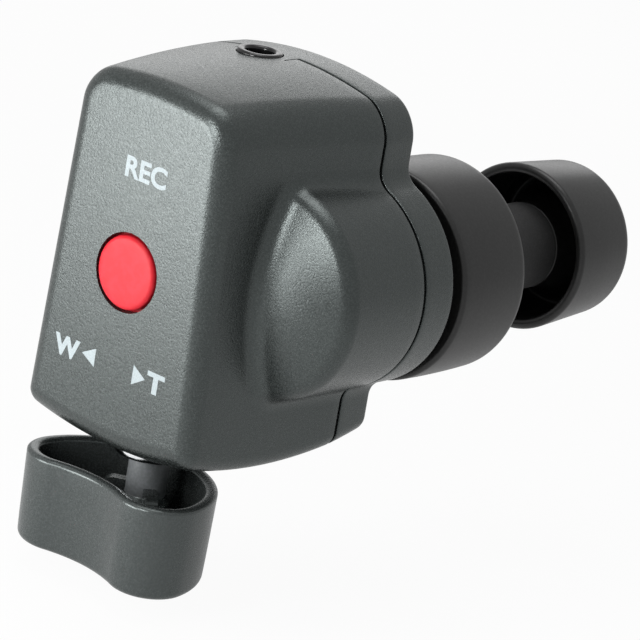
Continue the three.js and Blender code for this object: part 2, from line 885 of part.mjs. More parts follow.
// One ring of the knob's kidney outline, drawn in by an inset, at a height: a round back, a lobe at each
// end of it, and a dip in front whose arc touches both lobes.
function kidneyRing(inset, height) {
  const back = new THREE.Vector2(0, -knobBackForward);
  const out = knobBackRadius - lobeRadius;
  const lobe = new THREE.Vector2(out * Math.cos(lobeTurn), back.y + out * Math.sin(lobeTurn));
  const ahead = dipReach + lobe.y;
  const dipArc = (lobe.x ** 2 + ahead ** 2 - lobeRadius ** 2) / (2 * (lobeRadius - ahead));
  const dip = new THREE.Vector2(0, -dipReach - dipArc);
  const meet = Math.atan2(lobe.y - dip.y, lobe.x);
  const mirrored = new THREE.Vector2(-lobe.x, lobe.y);
  const points = [
    ...arcPoints(lobe, lobeRadius - inset, meet - Math.PI, lobeTurn, lobeFacets),
    ...arcPoints(back, knobBackRadius - inset, lobeTurn, Math.PI - lobeTurn, backFacets),
    ...arcPoints(mirrored, lobeRadius - inset, Math.PI - lobeTurn, 2 * Math.PI - meet, lobeFacets),
    ...arcPoints(dip, dipArc + inset, Math.PI - meet, meet, dipFacets),
  ];
  const [c, s] = [Math.cos(knobTurn), Math.sin(knobTurn)];
  return points.map(([x, y]) => [x * c - y * s, clampDepth + x * s + y * c, height]);
}

function knobGussets(floor) {
  const top = knobRim - gussetDrop;
  const shape = new THREE.Shape();
  shape.moveTo(0, floor);
  shape.lineTo(gussetFoot, floor);
  shape.lineTo(gussetReach, top - gussetThick);
  shape.quadraticCurveTo(gussetReach, top, gussetReach - gussetThick, top);
  shape.lineTo(0, top);
  const half = gussetThick / 2;
  const turns = [gussetTurn, Math.PI - gussetTurn];
  return turns
    .map((turn) => prismAlongY(shape, -half, half)
      .rotate([0, 0, THREE.MathUtils.radToDeg(turn + knobTurn)])
      .translate([0, clampDepth, 0]))
    .reduce((all, gusset) => all.add(gusset));
}

function clampKnob() {
  const bottom = knobRim - knobHeight;
  const floor = bottom + knobWall;
  const hubTop = flangeTop() - insertFlangeThick - movingGap;
  const form = loft([
    kidneyRing(knobDraft + knobEdge, bottom),
    kidneyRing(knobDraft + knobEdge * 0.3, bottom + knobEdge * 0.3),
    kidneyRing(knobDraft, bottom + knobEdge),
    kidneyRing(knobEdge * 0.2, knobRim - knobEdge * 1.5),
    kidneyRing(0, knobRim - knobEdge / 2),
    kidneyRing(knobEdge * 0.15, knobRim - knobEdge * 0.15),
    kidneyRing(knobEdge / 2, knobRim),
  ]);
  const hollow = loft([
    kidneyRing(knobDraft + knobWall, floor),
    kidneyRing(knobWall, knobRim - knobEdge / 2),
    kidneyRing(knobWall - knobEdge / 3, knobRim),
    kidneyRing(knobWall - knobEdge / 3, knobRim + overrun),
  ]);
  const hub = [
    [0, bottom + knobWall / 2],
    [hubRadius * 1.3, bottom + knobWall / 2],
    [hubRadius * 1.3, knobRim - gussetDrop - 2 * gussetThick],
    [hubRadius, knobRim - gussetDrop - gussetThick],
    [hubRadius, hubTop],
    [0, hubTop],
  ];
  const socket = rod(studRadius + seatGap, hubTop - hubSocket, hubTop + overrun);
  return form
    .subtract(hollow)
    .add(knobGussets(bottom + knobWall / 2))
    .add(turnedAlongZ(hub, 0, clampDepth, midFacets))
    .subtract(turnedAlongZ(socket, 0, clampDepth, smallFacets));
}

// Sensor, its bracket and the parts on the shaft inside the barrel

function sensorBody() {
  const back = sensorFront + sensorThick;
  const neckEnd = back + sensorNeck;
  const bore = shaftRadius + seatGap;
  const profile = [
    [0, sensorFront],
    [sensorRadius, sensorFront],
    [sensorRadius, back],
    [sensorNeckRadius, back],
    [sensorNeckRadius, neckEnd],
    [bore, neckEnd],
    [bore, shaftFront - seatGap],
    [0, shaftFront - seatGap],
  ];
  return turnedAlongY(profile, gripX, gripZ, midFacets);
}

function sensorBracket() {
  const from = sensorFront + sensorThick + seatGap;
  const shape = new THREE.Shape();
  shape.absarc(gripX, gripZ, sensorRadius, 0, 2 * Math.PI);
  const bar = new THREE.Shape();
  bar.absarc(gripX + bracketReach, gripZ, bracketEnd, -Math.PI / 2, Math.PI / 2);
  bar.absarc(gripX - bracketReach, gripZ, bracketEnd, Math.PI / 2, 3 * Math.PI / 2);
  const hole = rod(smallScrewRadius + seatGap, from - overrun, from + bracketThick + overrun);
  const neck = rod(sensorNeckRadius + seatGap, from - overrun, from + bracketThick + overrun);
  return bracketPlaces().reduce(
    (plate, x) => plate.subtract(turnedAlongY(hole, x, gripZ, smallFacets)),
    prismAlongY(shape, from, from + bracketThick)
      .add(prismAlongY(bar, from, from + bracketThick))
      .subtract(turnedAlongY(neck, gripX, gripZ, midFacets)),
  );
}

function sensorNut() {
  const from = bracketBack() + seatGap;
  const hole = rod(sensorNeckRadius + seatGap, from - overrun, from + nutThick + overrun);
  return turnedAlongY(rod(nutRadius, from, from + nutThick), gripX, gripZ, nutFlats)
    .subtract(turnedAlongY(hole, gripX, gripZ, smallFacets));
}

function springFront() {
  return bracketBack() + seatGap + nutThick + seatGap;
}

function armFront() {
  return housingDepth - shellWall - seatGap - bushingFlangeThick - clipThick - armThick - 2 * seatGap;
}

// A path of one leg, the turns, and the other leg.
class SpringPath extends THREE.Curve {
  getPoint(t, target = new THREE.Vector3()) {
    const legShare = 0.08;
    const turnShare = Math.min(Math.max((t - legShare) / (1 - 2 * legShare), 0), 1);
    const before = Math.max(legShare - t, 0) / legShare;
    const after = Math.max(t - 1 + legShare, 0) / legShare;
    const angle = 2 * Math.PI * springTurns * turnShare;
    const from = springFront() + springWire;
    const length = armFront() - seatGap - springWire - from;
    const reach = springLeg * (before - after);
    return target.set(
      gripX + springRadius * Math.cos(angle) + reach * Math.sin(angle),
      from + length * turnShare,
      gripZ - springRadius * Math.sin(angle) + reach * Math.cos(angle),
    );
  }
}

function centringSpring() {
  const section = new THREE.Shape();
  section.absarc(0, 0, springWire, 0, 2 * Math.PI);
  const steps = 36;
  const wire = new THREE.ExtrudeGeometry(section, { steps, curveSegments: 3, extrudePath: new SpringPath() });
  return solid(wire);
}

function centringArm() {
  const from = armFront();
  const to = from + armThick;
  const shape = new THREE.Shape();
  shape.moveTo(gripX - armHalfWidth, gripZ);
  shape.lineTo(gripX + armHalfWidth, gripZ);
  shape.lineTo(gripX + armHalfWidth, gripZ + armReach - armHalfWidth);
  shape.absarc(gripX, gripZ + armReach - armHalfWidth, armHalfWidth, 0, Math.PI);
  const bore = rod(shaftRadius + seatGap, from - overrun, to + overrun);
  return prismAlongY(shape, from, to)
    .add(turnedAlongY(rod(armHubRadius, from, to), gripX, gripZ, midFacets))
    .subtract(turnedAlongY(bore, gripX, gripZ, smallFacets));
}

function shaftClip() {
  const from = armFront() + armThick + seatGap;
  const inner = shaftRadius + seatGap;
  return turnedAlongY(tube(inner, inner + clipWidth, from, from + clipThick), gripX, gripZ, smallFacets);
}

function rearBushing() {
  const inside = housingDepth - shellWall;
  const inner = shaftRadius + seatGap;
  const flangeBack = inside - seatGap;
  const profile = [
    [inner, flangeBack - bushingFlangeThick],
    [bushingRadius + bushingFlange, flangeBack - bushingFlangeThick],
    [bushingRadius + bushingFlange, flangeBack],
    [bushingRadius, flangeBack],
    [bushingRadius, housingDepth + bushingProud],
    [inner, housingDepth + bushingProud],
    [inner, flangeBack - bushingFlangeThick],
  ];
  return turnedAlongY(profile, gripX, gripZ, midFacets);
}

function gripShaft() {
  return turnedAlongY(rod(shaftRadius, shaftFront, shaftBack), gripX, gripZ, smallFacets);
}

// Twist ring, neck and end knob

function twistRing() {
  const inner = shaftRadius + seatGap;
  const bossFront = housingDepth + bushingProud + seatGap;
  const taperShares = [0.3, 0.6, 0.85];
  const taperEnd = ringBack - ringBackEdge;
  const side = taperShares.map((share) => {
    const radius = ringWaist + (ringBackRadius - ringWaist) * share ** 2;
    return [radius, ringFront + ringLip + (taperEnd - ringFront - ringLip) * share];
  });
  const profile = [
    [inner, bossFront],
    [ringBossRadius, bossFront],
    [ringBossRadius, ringFront + ringRecess],
    [ringRecessRadius, ringFront + ringRecess],
    [ringRecessRadius, ringFront],
    [ringRadius - ringLip, ringFront],
    [ringRadius, ringFront + ringLip],
    ...side,
    [ringBackRadius, taperEnd],
    [ringBackRadius - ringBackEdge * 0.3, ringBack - ringBackEdge * 0.3],
    [ringBackRadius - ringBackEdge, ringBack],
    [inner, ringBack],
    [inner, bossFront],
  ];
  return turnedAlongY(profile, gripX, gripZ, gripFacets);
}

function gripNeck() {
  const inner = shaftRadius + seatGap;
  const from = ringBack + seatGap;
  const middle = (from + neckBack) / 2;
  const profile = [
    [inner, from],
    [neckRingRadius, from],
    [(neckRingRadius + neckWaistRadius) / 2, (3 * from + middle) / 4],
    [neckWaistRadius, (from + middle) / 2],
    [neckWaistRadius, middle],
    [neckKnobRadius, neckBack],
    [inner, neckBack],
    [inner, from],
  ];
  return turnedAlongY(profile, gripX, gripZ, midFacets);
}

// The knob is a deep cup open toward the ring, with a hub that flares into its floor.
function endKnob() {
  const inner = endKnobRimRadius - endKnobWall;
  const floor = endKnobBack - endKnobFloor;
  const hubFront = neckBack + seatGap;
  const flareStart = floor - endKnobFlareLength;
  const rimRound = endKnobWall / 2;
  const profile = [
    [0, shaftBack + seatGap],
    [shaftRadius + seatGap, shaftBack + seatGap],
    [shaftRadius + seatGap, hubFront + nutInsertLength + 2 * seatGap],
    [nutInsertRadius + seatGap, hubFront + nutInsertLength + 2 * seatGap],
    [nutInsertRadius + seatGap, hubFront],
    [neckKnobRadius, hubFront],
    [neckKnobRadius, flareStart],
    [neckKnobRadius + (endKnobFlare - neckKnobRadius) * 0.3, flareStart + endKnobFlareLength * 0.6],
    [endKnobFlare, floor],
    [inner - endKnobWall / 2, floor],
    [inner, floor - endKnobWall],
    [inner, endKnobRim + rimRound],
    [inner + rimRound * 0.3, endKnobRim + rimRound * 0.3],
    [inner + rimRound, endKnobRim],
    [endKnobRimRadius - rimRound * 0.3, endKnobRim + rimRound * 0.3],
    [endKnobRimRadius, endKnobRim + rimRound],
    [endKnobRadius, endKnobBack - endKnobEdge],
    [endKnobRadius - endKnobEdge * 0.12, endKnobBack - endKnobEdge * 0.5],
    [endKnobRadius - endKnobEdge * 0.4, endKnobBack - endKnobEdge * 0.2],
    [endKnobRadius - endKnobEdge, endKnobBack],
    [endKnobRadius / 2, endKnobBack + endKnobCrown],
    [0, endKnobBack + endKnobCrown],
  ];
  return turnedAlongY(profile, gripX, gripZ, gripFacets);
}

function knobNut() {
  const from = neckBack + 2 * seatGap;
  const bore = rod(shaftRadius + seatGap, from - overrun, from + nutInsertLength + overrun);
  return turnedAlongY(rod(nutInsertRadius, from, from + nutInsertLength), gripX, gripZ, nutFlats)
    .subtract(turnedAlongY(bore, gripX, gripZ, smallFacets));
}

const faceFrame = new THREE.Group();
faceFrame.position.set(-sleeveMouth, -clampDepth, -socketZ);
faceFrame.add(
  piece('front_shell', frontShell(), charcoal),
  piece('rear_shell', rearShell(), charcoal),
  piece('rec_button', recButton(), recordRed),
  piece('rec_plunger', recPlunger(), nylon),
  piece('rec_switch', recSwitch(), mouldedBlack),
  piece('main_board', mainBoard(), boardGreen),
  piece('jack_collar', jackCollar(), satinBlack),
  piece('jack_body', jackBody(), mouldedBlack),
  piece('clamp_sleeve', clampSleeve(), mouldedBlack),
  piece('clamp_insert', clampInsert(), chrome),
  piece('clamp_stud', clampStud(), steel),
  piece('clamp_pad', clampPad(), nylon),
  piece('clamp_knob', clampKnob(), charcoal),
  piece('sensor_body', sensorBody(), steel),
  piece('sensor_bracket', sensorBracket(), steel),
  piece('sensor_nut', sensorNut(), brass),
  piece('centring_spring', centringSpring(), steel),
  piece('centring_arm', centringArm(), nylon),
  piece('shaft_clip', shaftClip(), steel),
  piece('rear_bushing', rearBushing(), brass),
  piece('grip_shaft', gripShaft(), steel),
  piece('twist_ring', twistRing(), satinBlack),
  piece('grip_neck', gripNeck(), softBlack),
  piece('end_knob', endKnob(), satinBlack),
  piece('knob_nut', knobNut(), brass),
);
boardPlaces().forEach((x, n) => {
  faceFrame.add(piece(`board_screw_${n + 1}`, smallScrew(x, boardScrewZ, boardScrewSeat(), 1), steel));
});
bracketPlaces().forEach((x, n) => {
  const seat = sensorFront + sensorThick;
  faceFrame.add(piece(`bracket_screw_${n + 1}`, smallScrew(x, gripZ, seat, -1), steel));
});
cornerScrewPlaces.forEach((place, n) => {
  faceFrame.add(piece(`shell_screw_${n + 1}`, shellScrew(place), steel));
});

const zoomDemand = new THREE.Group();
zoomDemand.add(faceFrame);

export default zoomDemand;
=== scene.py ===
# Looks of the zoom demand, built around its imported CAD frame.
# Shapes are in millimetres in the face frame: origin at the record button's centre on the face, X right, Y back along
# the twist grip, Z up. placed() turns them into the part's metres.
import math
import bmesh
import bpy
import numpy as np
from mathutils import Matrix


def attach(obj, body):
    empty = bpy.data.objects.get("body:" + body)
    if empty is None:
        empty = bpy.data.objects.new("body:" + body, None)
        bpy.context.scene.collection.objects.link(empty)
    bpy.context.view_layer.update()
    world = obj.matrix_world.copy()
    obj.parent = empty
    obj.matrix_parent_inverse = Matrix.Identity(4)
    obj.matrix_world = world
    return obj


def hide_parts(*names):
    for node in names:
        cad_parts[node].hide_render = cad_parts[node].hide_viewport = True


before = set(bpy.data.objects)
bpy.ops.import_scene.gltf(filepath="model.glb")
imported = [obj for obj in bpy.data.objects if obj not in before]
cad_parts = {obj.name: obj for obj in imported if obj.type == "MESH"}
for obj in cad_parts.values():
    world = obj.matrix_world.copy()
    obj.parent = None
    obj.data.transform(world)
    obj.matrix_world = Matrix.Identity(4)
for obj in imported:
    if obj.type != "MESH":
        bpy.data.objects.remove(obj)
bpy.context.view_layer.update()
print("stage: frame loaded")

mm = 0.001
faceShift = np.array([19.0, -13.5, 18.2])
tau = 2 * math.pi


def placed(points):
    # face frame in millimetres to the part's frame in metres
    return (np.asarray(points, float) + faceShift) * mm


def emptyNodes(thing):
    # the nodes of a material or world, emptied
    thing.use_nodes = True
    thing.node_tree.nodes.clear()
    return thing.node_tree.nodes


def feed(source, target):
    # links an output to an input of the same tree
    target.id_data.links.new(source, target)


def materialNodes(name):
    # an empty material with a shader on its surface and coordinates to read
    material = bpy.data.materials.new(name)
    nodes = emptyNodes(material)
    output = nodes.new("ShaderNodeOutputMaterial")
    shader = nodes.new("ShaderNodeBsdfPrincipled")
    feed(shader.outputs["BSDF"], output.inputs["Surface"])
    coords = nodes.new("ShaderNodeTexCoord")
    return material, nodes, shader, coords


def noise(nodes, coords, cellMm, detail, roughness):
    # noise in Object coordinates whose cells are about cellMm across
    texture = nodes.new("ShaderNodeTexNoise")
    texture.inputs["Scale"].default_value = 1.0 / (cellMm * mm)
    texture.inputs["Detail"].default_value = detail
    texture.inputs["Roughness"].default_value = roughness
    feed(coords.outputs["Object"], texture.inputs["Vector"])
    return texture.outputs["Fac"]


def ranged(nodes, source, low, high, fromLow=0.3, fromHigh=0.7):
    # stretches a value between two limits to a new pair of limits
    node = nodes.new("ShaderNodeMapRange")
    node.inputs["From Min"].default_value = fromLow
    node.inputs["From Max"].default_value = fromHigh
    node.inputs["To Min"].default_value = low
    node.inputs["To Max"].default_value = high
    feed(source, node.inputs["Value"])
    return node.outputs["Result"]


def tinted(nodes, factor, first, second):
    # mixes two colours by a value
    node = nodes.new("ShaderNodeMix")
    node.data_type = "RGBA"
    feed(factor, node.inputs["Factor"])
    node.inputs["A"].default_value = (*first, 1)
    node.inputs["B"].default_value = (*second, 1)
    return node.outputs["Result"]


def bumped(nodes, height, depthMm, below=None):
    # a bump whose full height is depthMm, on top of another bump
    node = nodes.new("ShaderNodeBump")
    node.inputs["Strength"].default_value = 1.0
    node.inputs["Distance"].default_value = depthMm * mm
    feed(height, node.inputs["Height"])
    if below is not None:
        feed(below, node.inputs["Normal"])
    return node.outputs["Normal"]


# detail and roughness of each layer of noise, and where flecks begin and are full. Sizes in a look are those of its
# layers and depths those of its bumps, in millimetres, and its roughness is a mean and a spread
plasticNoise = dict(grain=(3.0, 0.6), fleck=(1.0, 0.5), cloud=(3.0, 0.55), fleckFrom=0.42, fleckTo=0.68)
metalNoise = dict(stain=(4.0, 0.6), marks=(2.0, 0.5))
sheenRoughness = 0.5


def glossed(nodes, source, look, shader):
    # roughness that swings about its mean with a noise
    mean, spread = look["roughness"]
    feed(ranged(nodes, source, mean - spread, mean + spread), shader.inputs["Roughness"])


def mouldedPlastic(name, **look):
    # moulded plastic: fine spark grain over a slow waviness, with small changes of tone and gloss
    material, nodes, shader, coords = materialNodes(name)
    grain, fleck, cloud = [noise(nodes, coords, size, *plasticNoise[layer])
                           for size, layer in zip(look["sizes"], ("grain", "fleck", "cloud"))]
    flecked = ranged(nodes, fleck, 0.0, 1.0, plasticNoise["fleckFrom"], plasticNoise["fleckTo"])
    base = tinted(nodes, flecked, look["dark"], look["light"])
    toned = nodes.new("ShaderNodeMix")
    toned.data_type = "RGBA"
    toned.blend_type = "MULTIPLY"
    toned.inputs["Factor"].default_value = look["cloudShare"]
    feed(base, toned.inputs["A"])
    feed(cloud, toned.inputs["B"])
    feed(toned.outputs["Result"], shader.inputs["Base Color"])
    glossed(nodes, grain, look, shader)
    grainDepth, waveDepth = look["depths"]
    wave = bumped(nodes, cloud, waveDepth)
    feed(bumped(nodes, grain, grainDepth, wave), shader.inputs["Normal"])
    shader.inputs["IOR"].default_value = look.get("ior", 1.5)
    shader.inputs["Specular Tint"].default_value = (*look.get("tint", (1, 1, 1)), 1)
    if "sheen" in look:
        shader.inputs["Sheen Weight"].default_value = look["sheen"]
        shader.inputs["Sheen Roughness"].default_value = sheenRoughness
    return material


def turnedMetal(name, **look):
    # machined or plated metal: fine tool marks, faint stains and small changes of gloss
    material, nodes, shader, coords = materialNodes(name)
    stain, toolMarks = [noise(nodes, coords, size, *metalNoise[layer])
                        for size, layer in zip(look["sizes"], ("stain", "marks"))]
    colour = tinted(nodes, ranged(nodes, stain, 0.0, 1.0), look["dark"], look["light"])
    feed(colour, shader.inputs["Base Color"])
    shader.inputs["Metallic"].default_value = 1.0
    glossed(nodes, stain, look, shader)
    feed(bumped(nodes, toolMarks, look["depth"]), shader.inputs["Normal"])
    return material


housingLook = dict(dark=(0.012, 0.0145, 0.014), light=(0.036, 0.041, 0.040), sizes=(0.31, 0.30, 9.0), cloudShare=0.12,
                   roughness=(0.27, 0.11), depths=(0.055, 0.02), ior=1.72, tint=(0.90, 1.0, 0.985))
# the clamp knob is moulded in the housing's charcoal plastic; this copy is made paler, and the extra lightness is
# painted sheen
clampKnobLookPaintedSheen = dict(housingLook, dark=(0.026, 0.030, 0.0295), light=(0.050, 0.055, 0.0545), depths=(0.020, 0.02),
                     roughness=(0.27, 0.06))
satinLook = dict(dark=(0.013, 0.0132, 0.013), light=(0.020, 0.0203, 0.020), sizes=(0.35, 0.5, 14.0), cloudShare=0.10,
                 roughness=(0.34, 0.05), depths=(0.003, 0.03))
# the hub belongs to the clamp knob's moulding; its much paler colour is painted sheen
hubLookPaintedSheen = dict(satinLook, dark=(0.165, 0.176, 0.182), light=(0.215, 0.228, 0.236), roughness=(0.38, 0.05), ior=1.6)

housingPlastic = mouldedPlastic("sparkCharcoal", **housingLook)
clampKnobPlasticPaintedSheen = mouldedPlastic("knobCharcoalPaintedSheen", **clampKnobLookPaintedSheen)
satinBlack = mouldedPlastic("satinBlack", **satinLook)
neckRubber = mouldedPlastic(
    "neckRubber", dark=(0.028, 0.028, 0.0285), light=(0.040, 0.040, 0.0405), sizes=(0.22, 0.4, 8.0), cloudShare=0.15,
    roughness=(0.60, 0.08), depths=(0.008, 0.03), sheen=0.12)
hubPaintedSheen = mouldedPlastic("hubPaintedSheen", **hubLookPaintedSheen)
recordRed = mouldedPlastic(
    "recordRed", dark=(0.61, 0.010, 0.021), light=(0.67, 0.017, 0.032), sizes=(0.30, 1.2, 6.0), cloudShare=0.05,
    roughness=(0.46, 0.05), depths=(0.002, 0.01), ior=1.40)
glossBlack = mouldedPlastic(
    "glossBlack", dark=(0.008, 0.008, 0.0085), light=(0.014, 0.014, 0.0145), sizes=(0.4, 0.8, 4.0), cloudShare=0.10,
    roughness=(0.18, 0.04), depths=(0.001, 0.008))
mouldedBlack = mouldedPlastic(
    "mouldedBlack", dark=(0.012, 0.012, 0.0125), light=(0.022, 0.022, 0.0225), sizes=(0.3, 0.6, 7.0), cloudShare=0.12,
    roughness=(0.50, 0.08), depths=(0.005, 0.02))
naturalNylon = mouldedPlastic(
    "naturalNylon", dark=(0.66, 0.64, 0.58), light=(0.76, 0.74, 0.68), sizes=(0.35, 1.0, 5.0), cloudShare=0.10,
    roughness=(0.48, 0.06), depths=(0.004, 0.01))
boardGreen = mouldedPlastic(
    "boardGreen", dark=(0.010, 0.070, 0.035), light=(0.018, 0.110, 0.055), sizes=(0.5, 1.5, 6.0), cloudShare=0.15,
    roughness=(0.35, 0.06), depths=(0.006, 0.01))
markInk = mouldedPlastic(
    "markInk", dark=(0.38, 0.44, 0.46), light=(0.47, 0.53, 0.55), sizes=(0.20, 0.25, 2.0), cloudShare=0.06,
    roughness=(0.50, 0.08), depths=(0.004, 0.004))
chromePlate = turnedMetal("chromePlate", dark=(0.74, 0.75, 0.77), light=(0.84, 0.85, 0.86), sizes=(3.0, 0.12),
                          roughness=(0.10, 0.04), depth=0.0006)
turnedSteel = turnedMetal("turnedSteel", dark=(0.42, 0.43, 0.44), light=(0.56, 0.57, 0.58), sizes=(2.5, 0.10),
                          roughness=(0.30, 0.08), depth=0.0015)
blackSteel = turnedMetal("blackSteel", dark=(0.10, 0.10, 0.105), light=(0.17, 0.17, 0.175), sizes=(2.0, 0.12),
                         roughness=(0.32, 0.08), depth=0.0015)
turnedBrass = turnedMetal("turnedBrass", dark=(0.50, 0.35, 0.13), light=(0.66, 0.48, 0.20), sizes=(3.0, 0.12),
                          roughness=(0.28, 0.08), depth=0.0015)
print("stage: materials made")


def linked(name, data):
    # a new object in the scene
    thing = bpy.data.objects.new(name, data)
    bpy.context.scene.collection.objects.link(thing)
    return thing


def meshObject(name, points, faces):
    # points in the face frame, in millimetres
    mesh = bpy.data.meshes.new(name)
    mesh.from_pydata(placed(points), [], faces)
    mesh.update()
    return linked(name, mesh)


def vertexPlaces(mesh):
    # the places of a mesh's points, a row for each
    places = np.zeros(len(mesh.vertices) * 3)
    mesh.vertices.foreach_get("co", places)
    return places.reshape(-1, 3)


def evaluatedMesh(thing):
    # a mesh of an object with its modifiers or letters worked out
    bpy.context.view_layer.update()
    graph = bpy.context.evaluated_depsgraph_get()
    return bpy.data.meshes.new_from_object(thing.evaluated_get(graph))


def gridFaces(rows, columns, closedRows=False):
    # quads between rings of points, and from the last ring to the first where rows close
    r = np.arange(rows if closedRows else rows - 1)[:, None]
    c = np.arange(columns)[None, :]
    following = (c + 1) % columns
    above = (r + 1) % rows
    quads = np.stack([r * columns + c, r * columns + following, above * columns + following, above * columns + c], -1)
    return quads.reshape(-1, 4)


def outward(thing):
    # turns the faces of a closed mesh outwards, by the sign of its volume
    mesh = thing.data
    mesh.calc_loop_triangles()
    corners = np.zeros(len(mesh.loop_triangles) * 3, int)
    mesh.loop_triangles.foreach_get("vertices", corners)
    a, b, c = vertexPlaces(mesh)[corners.reshape(-1, 3)].transpose(1, 0, 2)
    if np.einsum("ij,ij->i", a, np.cross(b, c)).sum() < 0:
        mesh.flip_normals()
    return thing


def poleFaces(rows, columns):
    # triangles from a grid's first and last ring to the two points after it
    k = np.arange(columns)
    following = (k + 1) % columns
    count, last = rows * columns, (rows - 1) * columns
    front = np.stack([np.full(columns, count), following, k], -1)
    back = np.stack([np.full(columns, count + 1), last + k, last + following], -1)
    return np.vstack([front, back]).tolist()


def stackSolid(name, stack, poles=None):
    # a closed solid from rings, with a pole in the middle of the first and the last
    rows, columns = stack.shape[:2]
    poles = [stack[0].mean(0), stack[-1].mean(0)] if poles is None else poles
    points = np.vstack([stack.reshape(-1, 3), poles])
    return outward(meshObject(name, points, gridFaces(rows, columns).tolist() + poleFaces(rows, columns)))


def turned(name, profile, centre, axis, steps=128):
    # radius and place along the axis, swept round it: a radius of zero at an end makes a pole
    profile = np.asarray(profile, float)
    closed = profile[0, 0] > 0
    body = profile if closed else profile[1:-1]
    angle = tau * np.arange(steps) / steps
    radius, along = body[:, 0][:, None], body[:, 1][:, None]
    first, second = radius * np.cos(angle), radius * np.sin(angle)
    along = np.broadcast_to(along, first.shape)
    order = {"X": (along, first, second), "Y": (second, along, first), "Z": (first, second, along)}[axis]
    points = np.stack(order, -1).reshape(-1, 3) + np.asarray(centre, float)
    faces = gridFaces(len(body), steps, closed).tolist()
    if not closed:
        poles = np.zeros((2, 3))
        poles[:, "XYZ".index(axis)] = profile[[0, -1], 1]
        points = np.vstack([points, poles + np.asarray(centre, float)])
        faces += poleFaces(len(body), steps)
    return outward(meshObject(name, points, faces))


def filleted(corners, steps=6):
    # corners (x, y, radius): each with a radius becomes an arc that touches both its sides
    corners = np.asarray(corners, float)
    points = []
    for k, (x, y, radius) in enumerate(corners):
        here = np.array([x, y])
        if radius <= 0 or k in (0, len(corners) - 1):
            points.append(here[None])
            continue
        toBefore = corners[k - 1, :2] - here
        toAfter = corners[k + 1, :2] - here
        toBefore /= np.hypot(*toBefore)
        toAfter /= np.hypot(*toAfter)
        half = math.acos(np.clip(toBefore @ toAfter, -1, 1)) / 2
        reach = radius / math.tan(half)
        middle = (toBefore + toAfter) / np.hypot(*(toBefore + toAfter))
        centre = here + middle * radius / math.sin(half)
        start = here + toBefore * reach - centre
        end = here + toAfter * reach - centre
        share = np.linspace(0, 1, steps + 1)[:, None]
        swing = math.pi - 2 * half
        points.append(centre + (start * np.sin((1 - share) * swing) + end * np.sin(share * swing)) / math.sin(swing))
    return np.vstack(points)


sliver = 0.004  # in millimetres: what is narrower than this after a cut is merged away


def combined(thing, others, operation="DIFFERENCE"):
    # cuts or joins a closed mesh with others, which are then removed
    for other in others:
        modifier = thing.modifiers.new("combine", "BOOLEAN")
        modifier.operation = operation
        modifier.solver = "EXACT"
        modifier.object = other
    mesh = evaluatedMesh(thing)
    thing.modifiers.clear()
    thing.data = mesh
    # slivers that a cut leaves would shade wrongly
    shape = bmesh.new()
    shape.from_mesh(thing.data)
    bmesh.ops.remove_doubles(shape, verts=shape.verts, dist=sliver * mm)
    bmesh.ops.dissolve_degenerate(shape, dist=sliver * mm, edges=shape.edges)
    shape.to_mesh(thing.data)
    shape.free()
    for other in others:
        bpy.data.objects.remove(other)
    return thing


def finished(thing, material, body, slot, *nodes, sharpAngle=32):
    # material, smooth shading with sharp edges kept, and what the piece rides on and stands for
    thing.data.materials.clear()
    thing.data.materials.append(material)
    thing.data.shade_smooth()
    thing.data.set_sharp_from_angle(angle=math.radians(sharpAngle))
    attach(thing, body)
    if nodes:
        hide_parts(*nodes)


housing = dict(
    faceHalfWidth=17.6, partingHalfWidth=22.2, partingDepth=34.0, depth=41.8, crownTop=33.9, crownDepth=30.0,
    crownFall=1.5, topSideFall=3.4, bellyBottom=32.4, bellyDepth=19.0, bellyRise=2.2, bottomSideFall=2.9,
    faceEdgeRadius=3.2, rearEdgeRadius=0.9, creaseBlend=2.7, wall=2.0, faceLean=0.0435, partingLean=0.005,
    topCornerRadius=5.5, bottomCornerRadius=2.4, gap=0.65, edgeBreak=0.2,
)
barrel = dict(x=17.05, z=0.6, radius=18.8, draft=0.3, front=11.0, nose=4.4, edgeRadius=1.9)
grip = dict(x=17.2, z=0.0)
housingMesh = dict(faceCentre=3.0, barrelCentre=11.0, reach=60.0, bendWeight=5.0, halvings=34, rays=900,
                   sidePoints=(170, 70, 50, 70), edgeSteps=9, noseBefore=0.6, noseAfter=1.1, noseSteps=60,
                   backSteps=8, capShares=(0.004, 0.3, 0.7, 0.95, 0.985))


def roundedCorner(first, second, radius):
    # distance outside two crossing faces whose edge is rounded
    a, b = first + radius, second + radius
    return np.minimum(np.maximum(a, b), 0) + np.hypot(np.maximum(a, 0), np.maximum(b, 0)) - radius


def flareAt(depth):
    # how far the sides have flared: none at the face, full at the parting line
    return np.clip(depth / housing["partingDepth"], 0, 1)


def halfWidthAt(depth):
    # the half width grows evenly from the face to the parting line
    return housing["faceHalfWidth"] + (housing["partingHalfWidth"] - housing["faceHalfWidth"]) * flareAt(depth)


def topAt(depth):
    # the top line is a parabola, highest at the crown
    return housing["crownTop"] - housing["crownFall"] * ((depth - housing["crownDepth"]) / housing["crownDepth"]) ** 2


def bottomAt(depth):
    # the bottom line is a parabola too, lowest at the belly
    share = (depth - housing["bellyDepth"]) / housing["bellyDepth"]
    return housing["bellyBottom"] - housing["bellyRise"] * share ** 2


def boxDistance(x, depth, z):
    # leaning flared sides, a top and a bottom that fall to their sides by the square of x, and rounded edges
    q = housing
    lean = q["faceLean"] + (q["partingLean"] - q["faceLean"]) * flareAt(depth)
    side = np.abs(x) + lean * z - halfWidthAt(depth)
    share = (x / q["partingHalfWidth"]) ** 2
    upper = roundedCorner(side, z - topAt(depth) + q["topSideFall"] * share, q["topCornerRadius"])
    lower = roundedCorner(side, -z - bottomAt(depth) + q["bottomSideFall"] * share, q["bottomCornerRadius"])
    return roundedCorner(np.where(z > 0, upper, lower), -depth, q["faceEdgeRadius"])


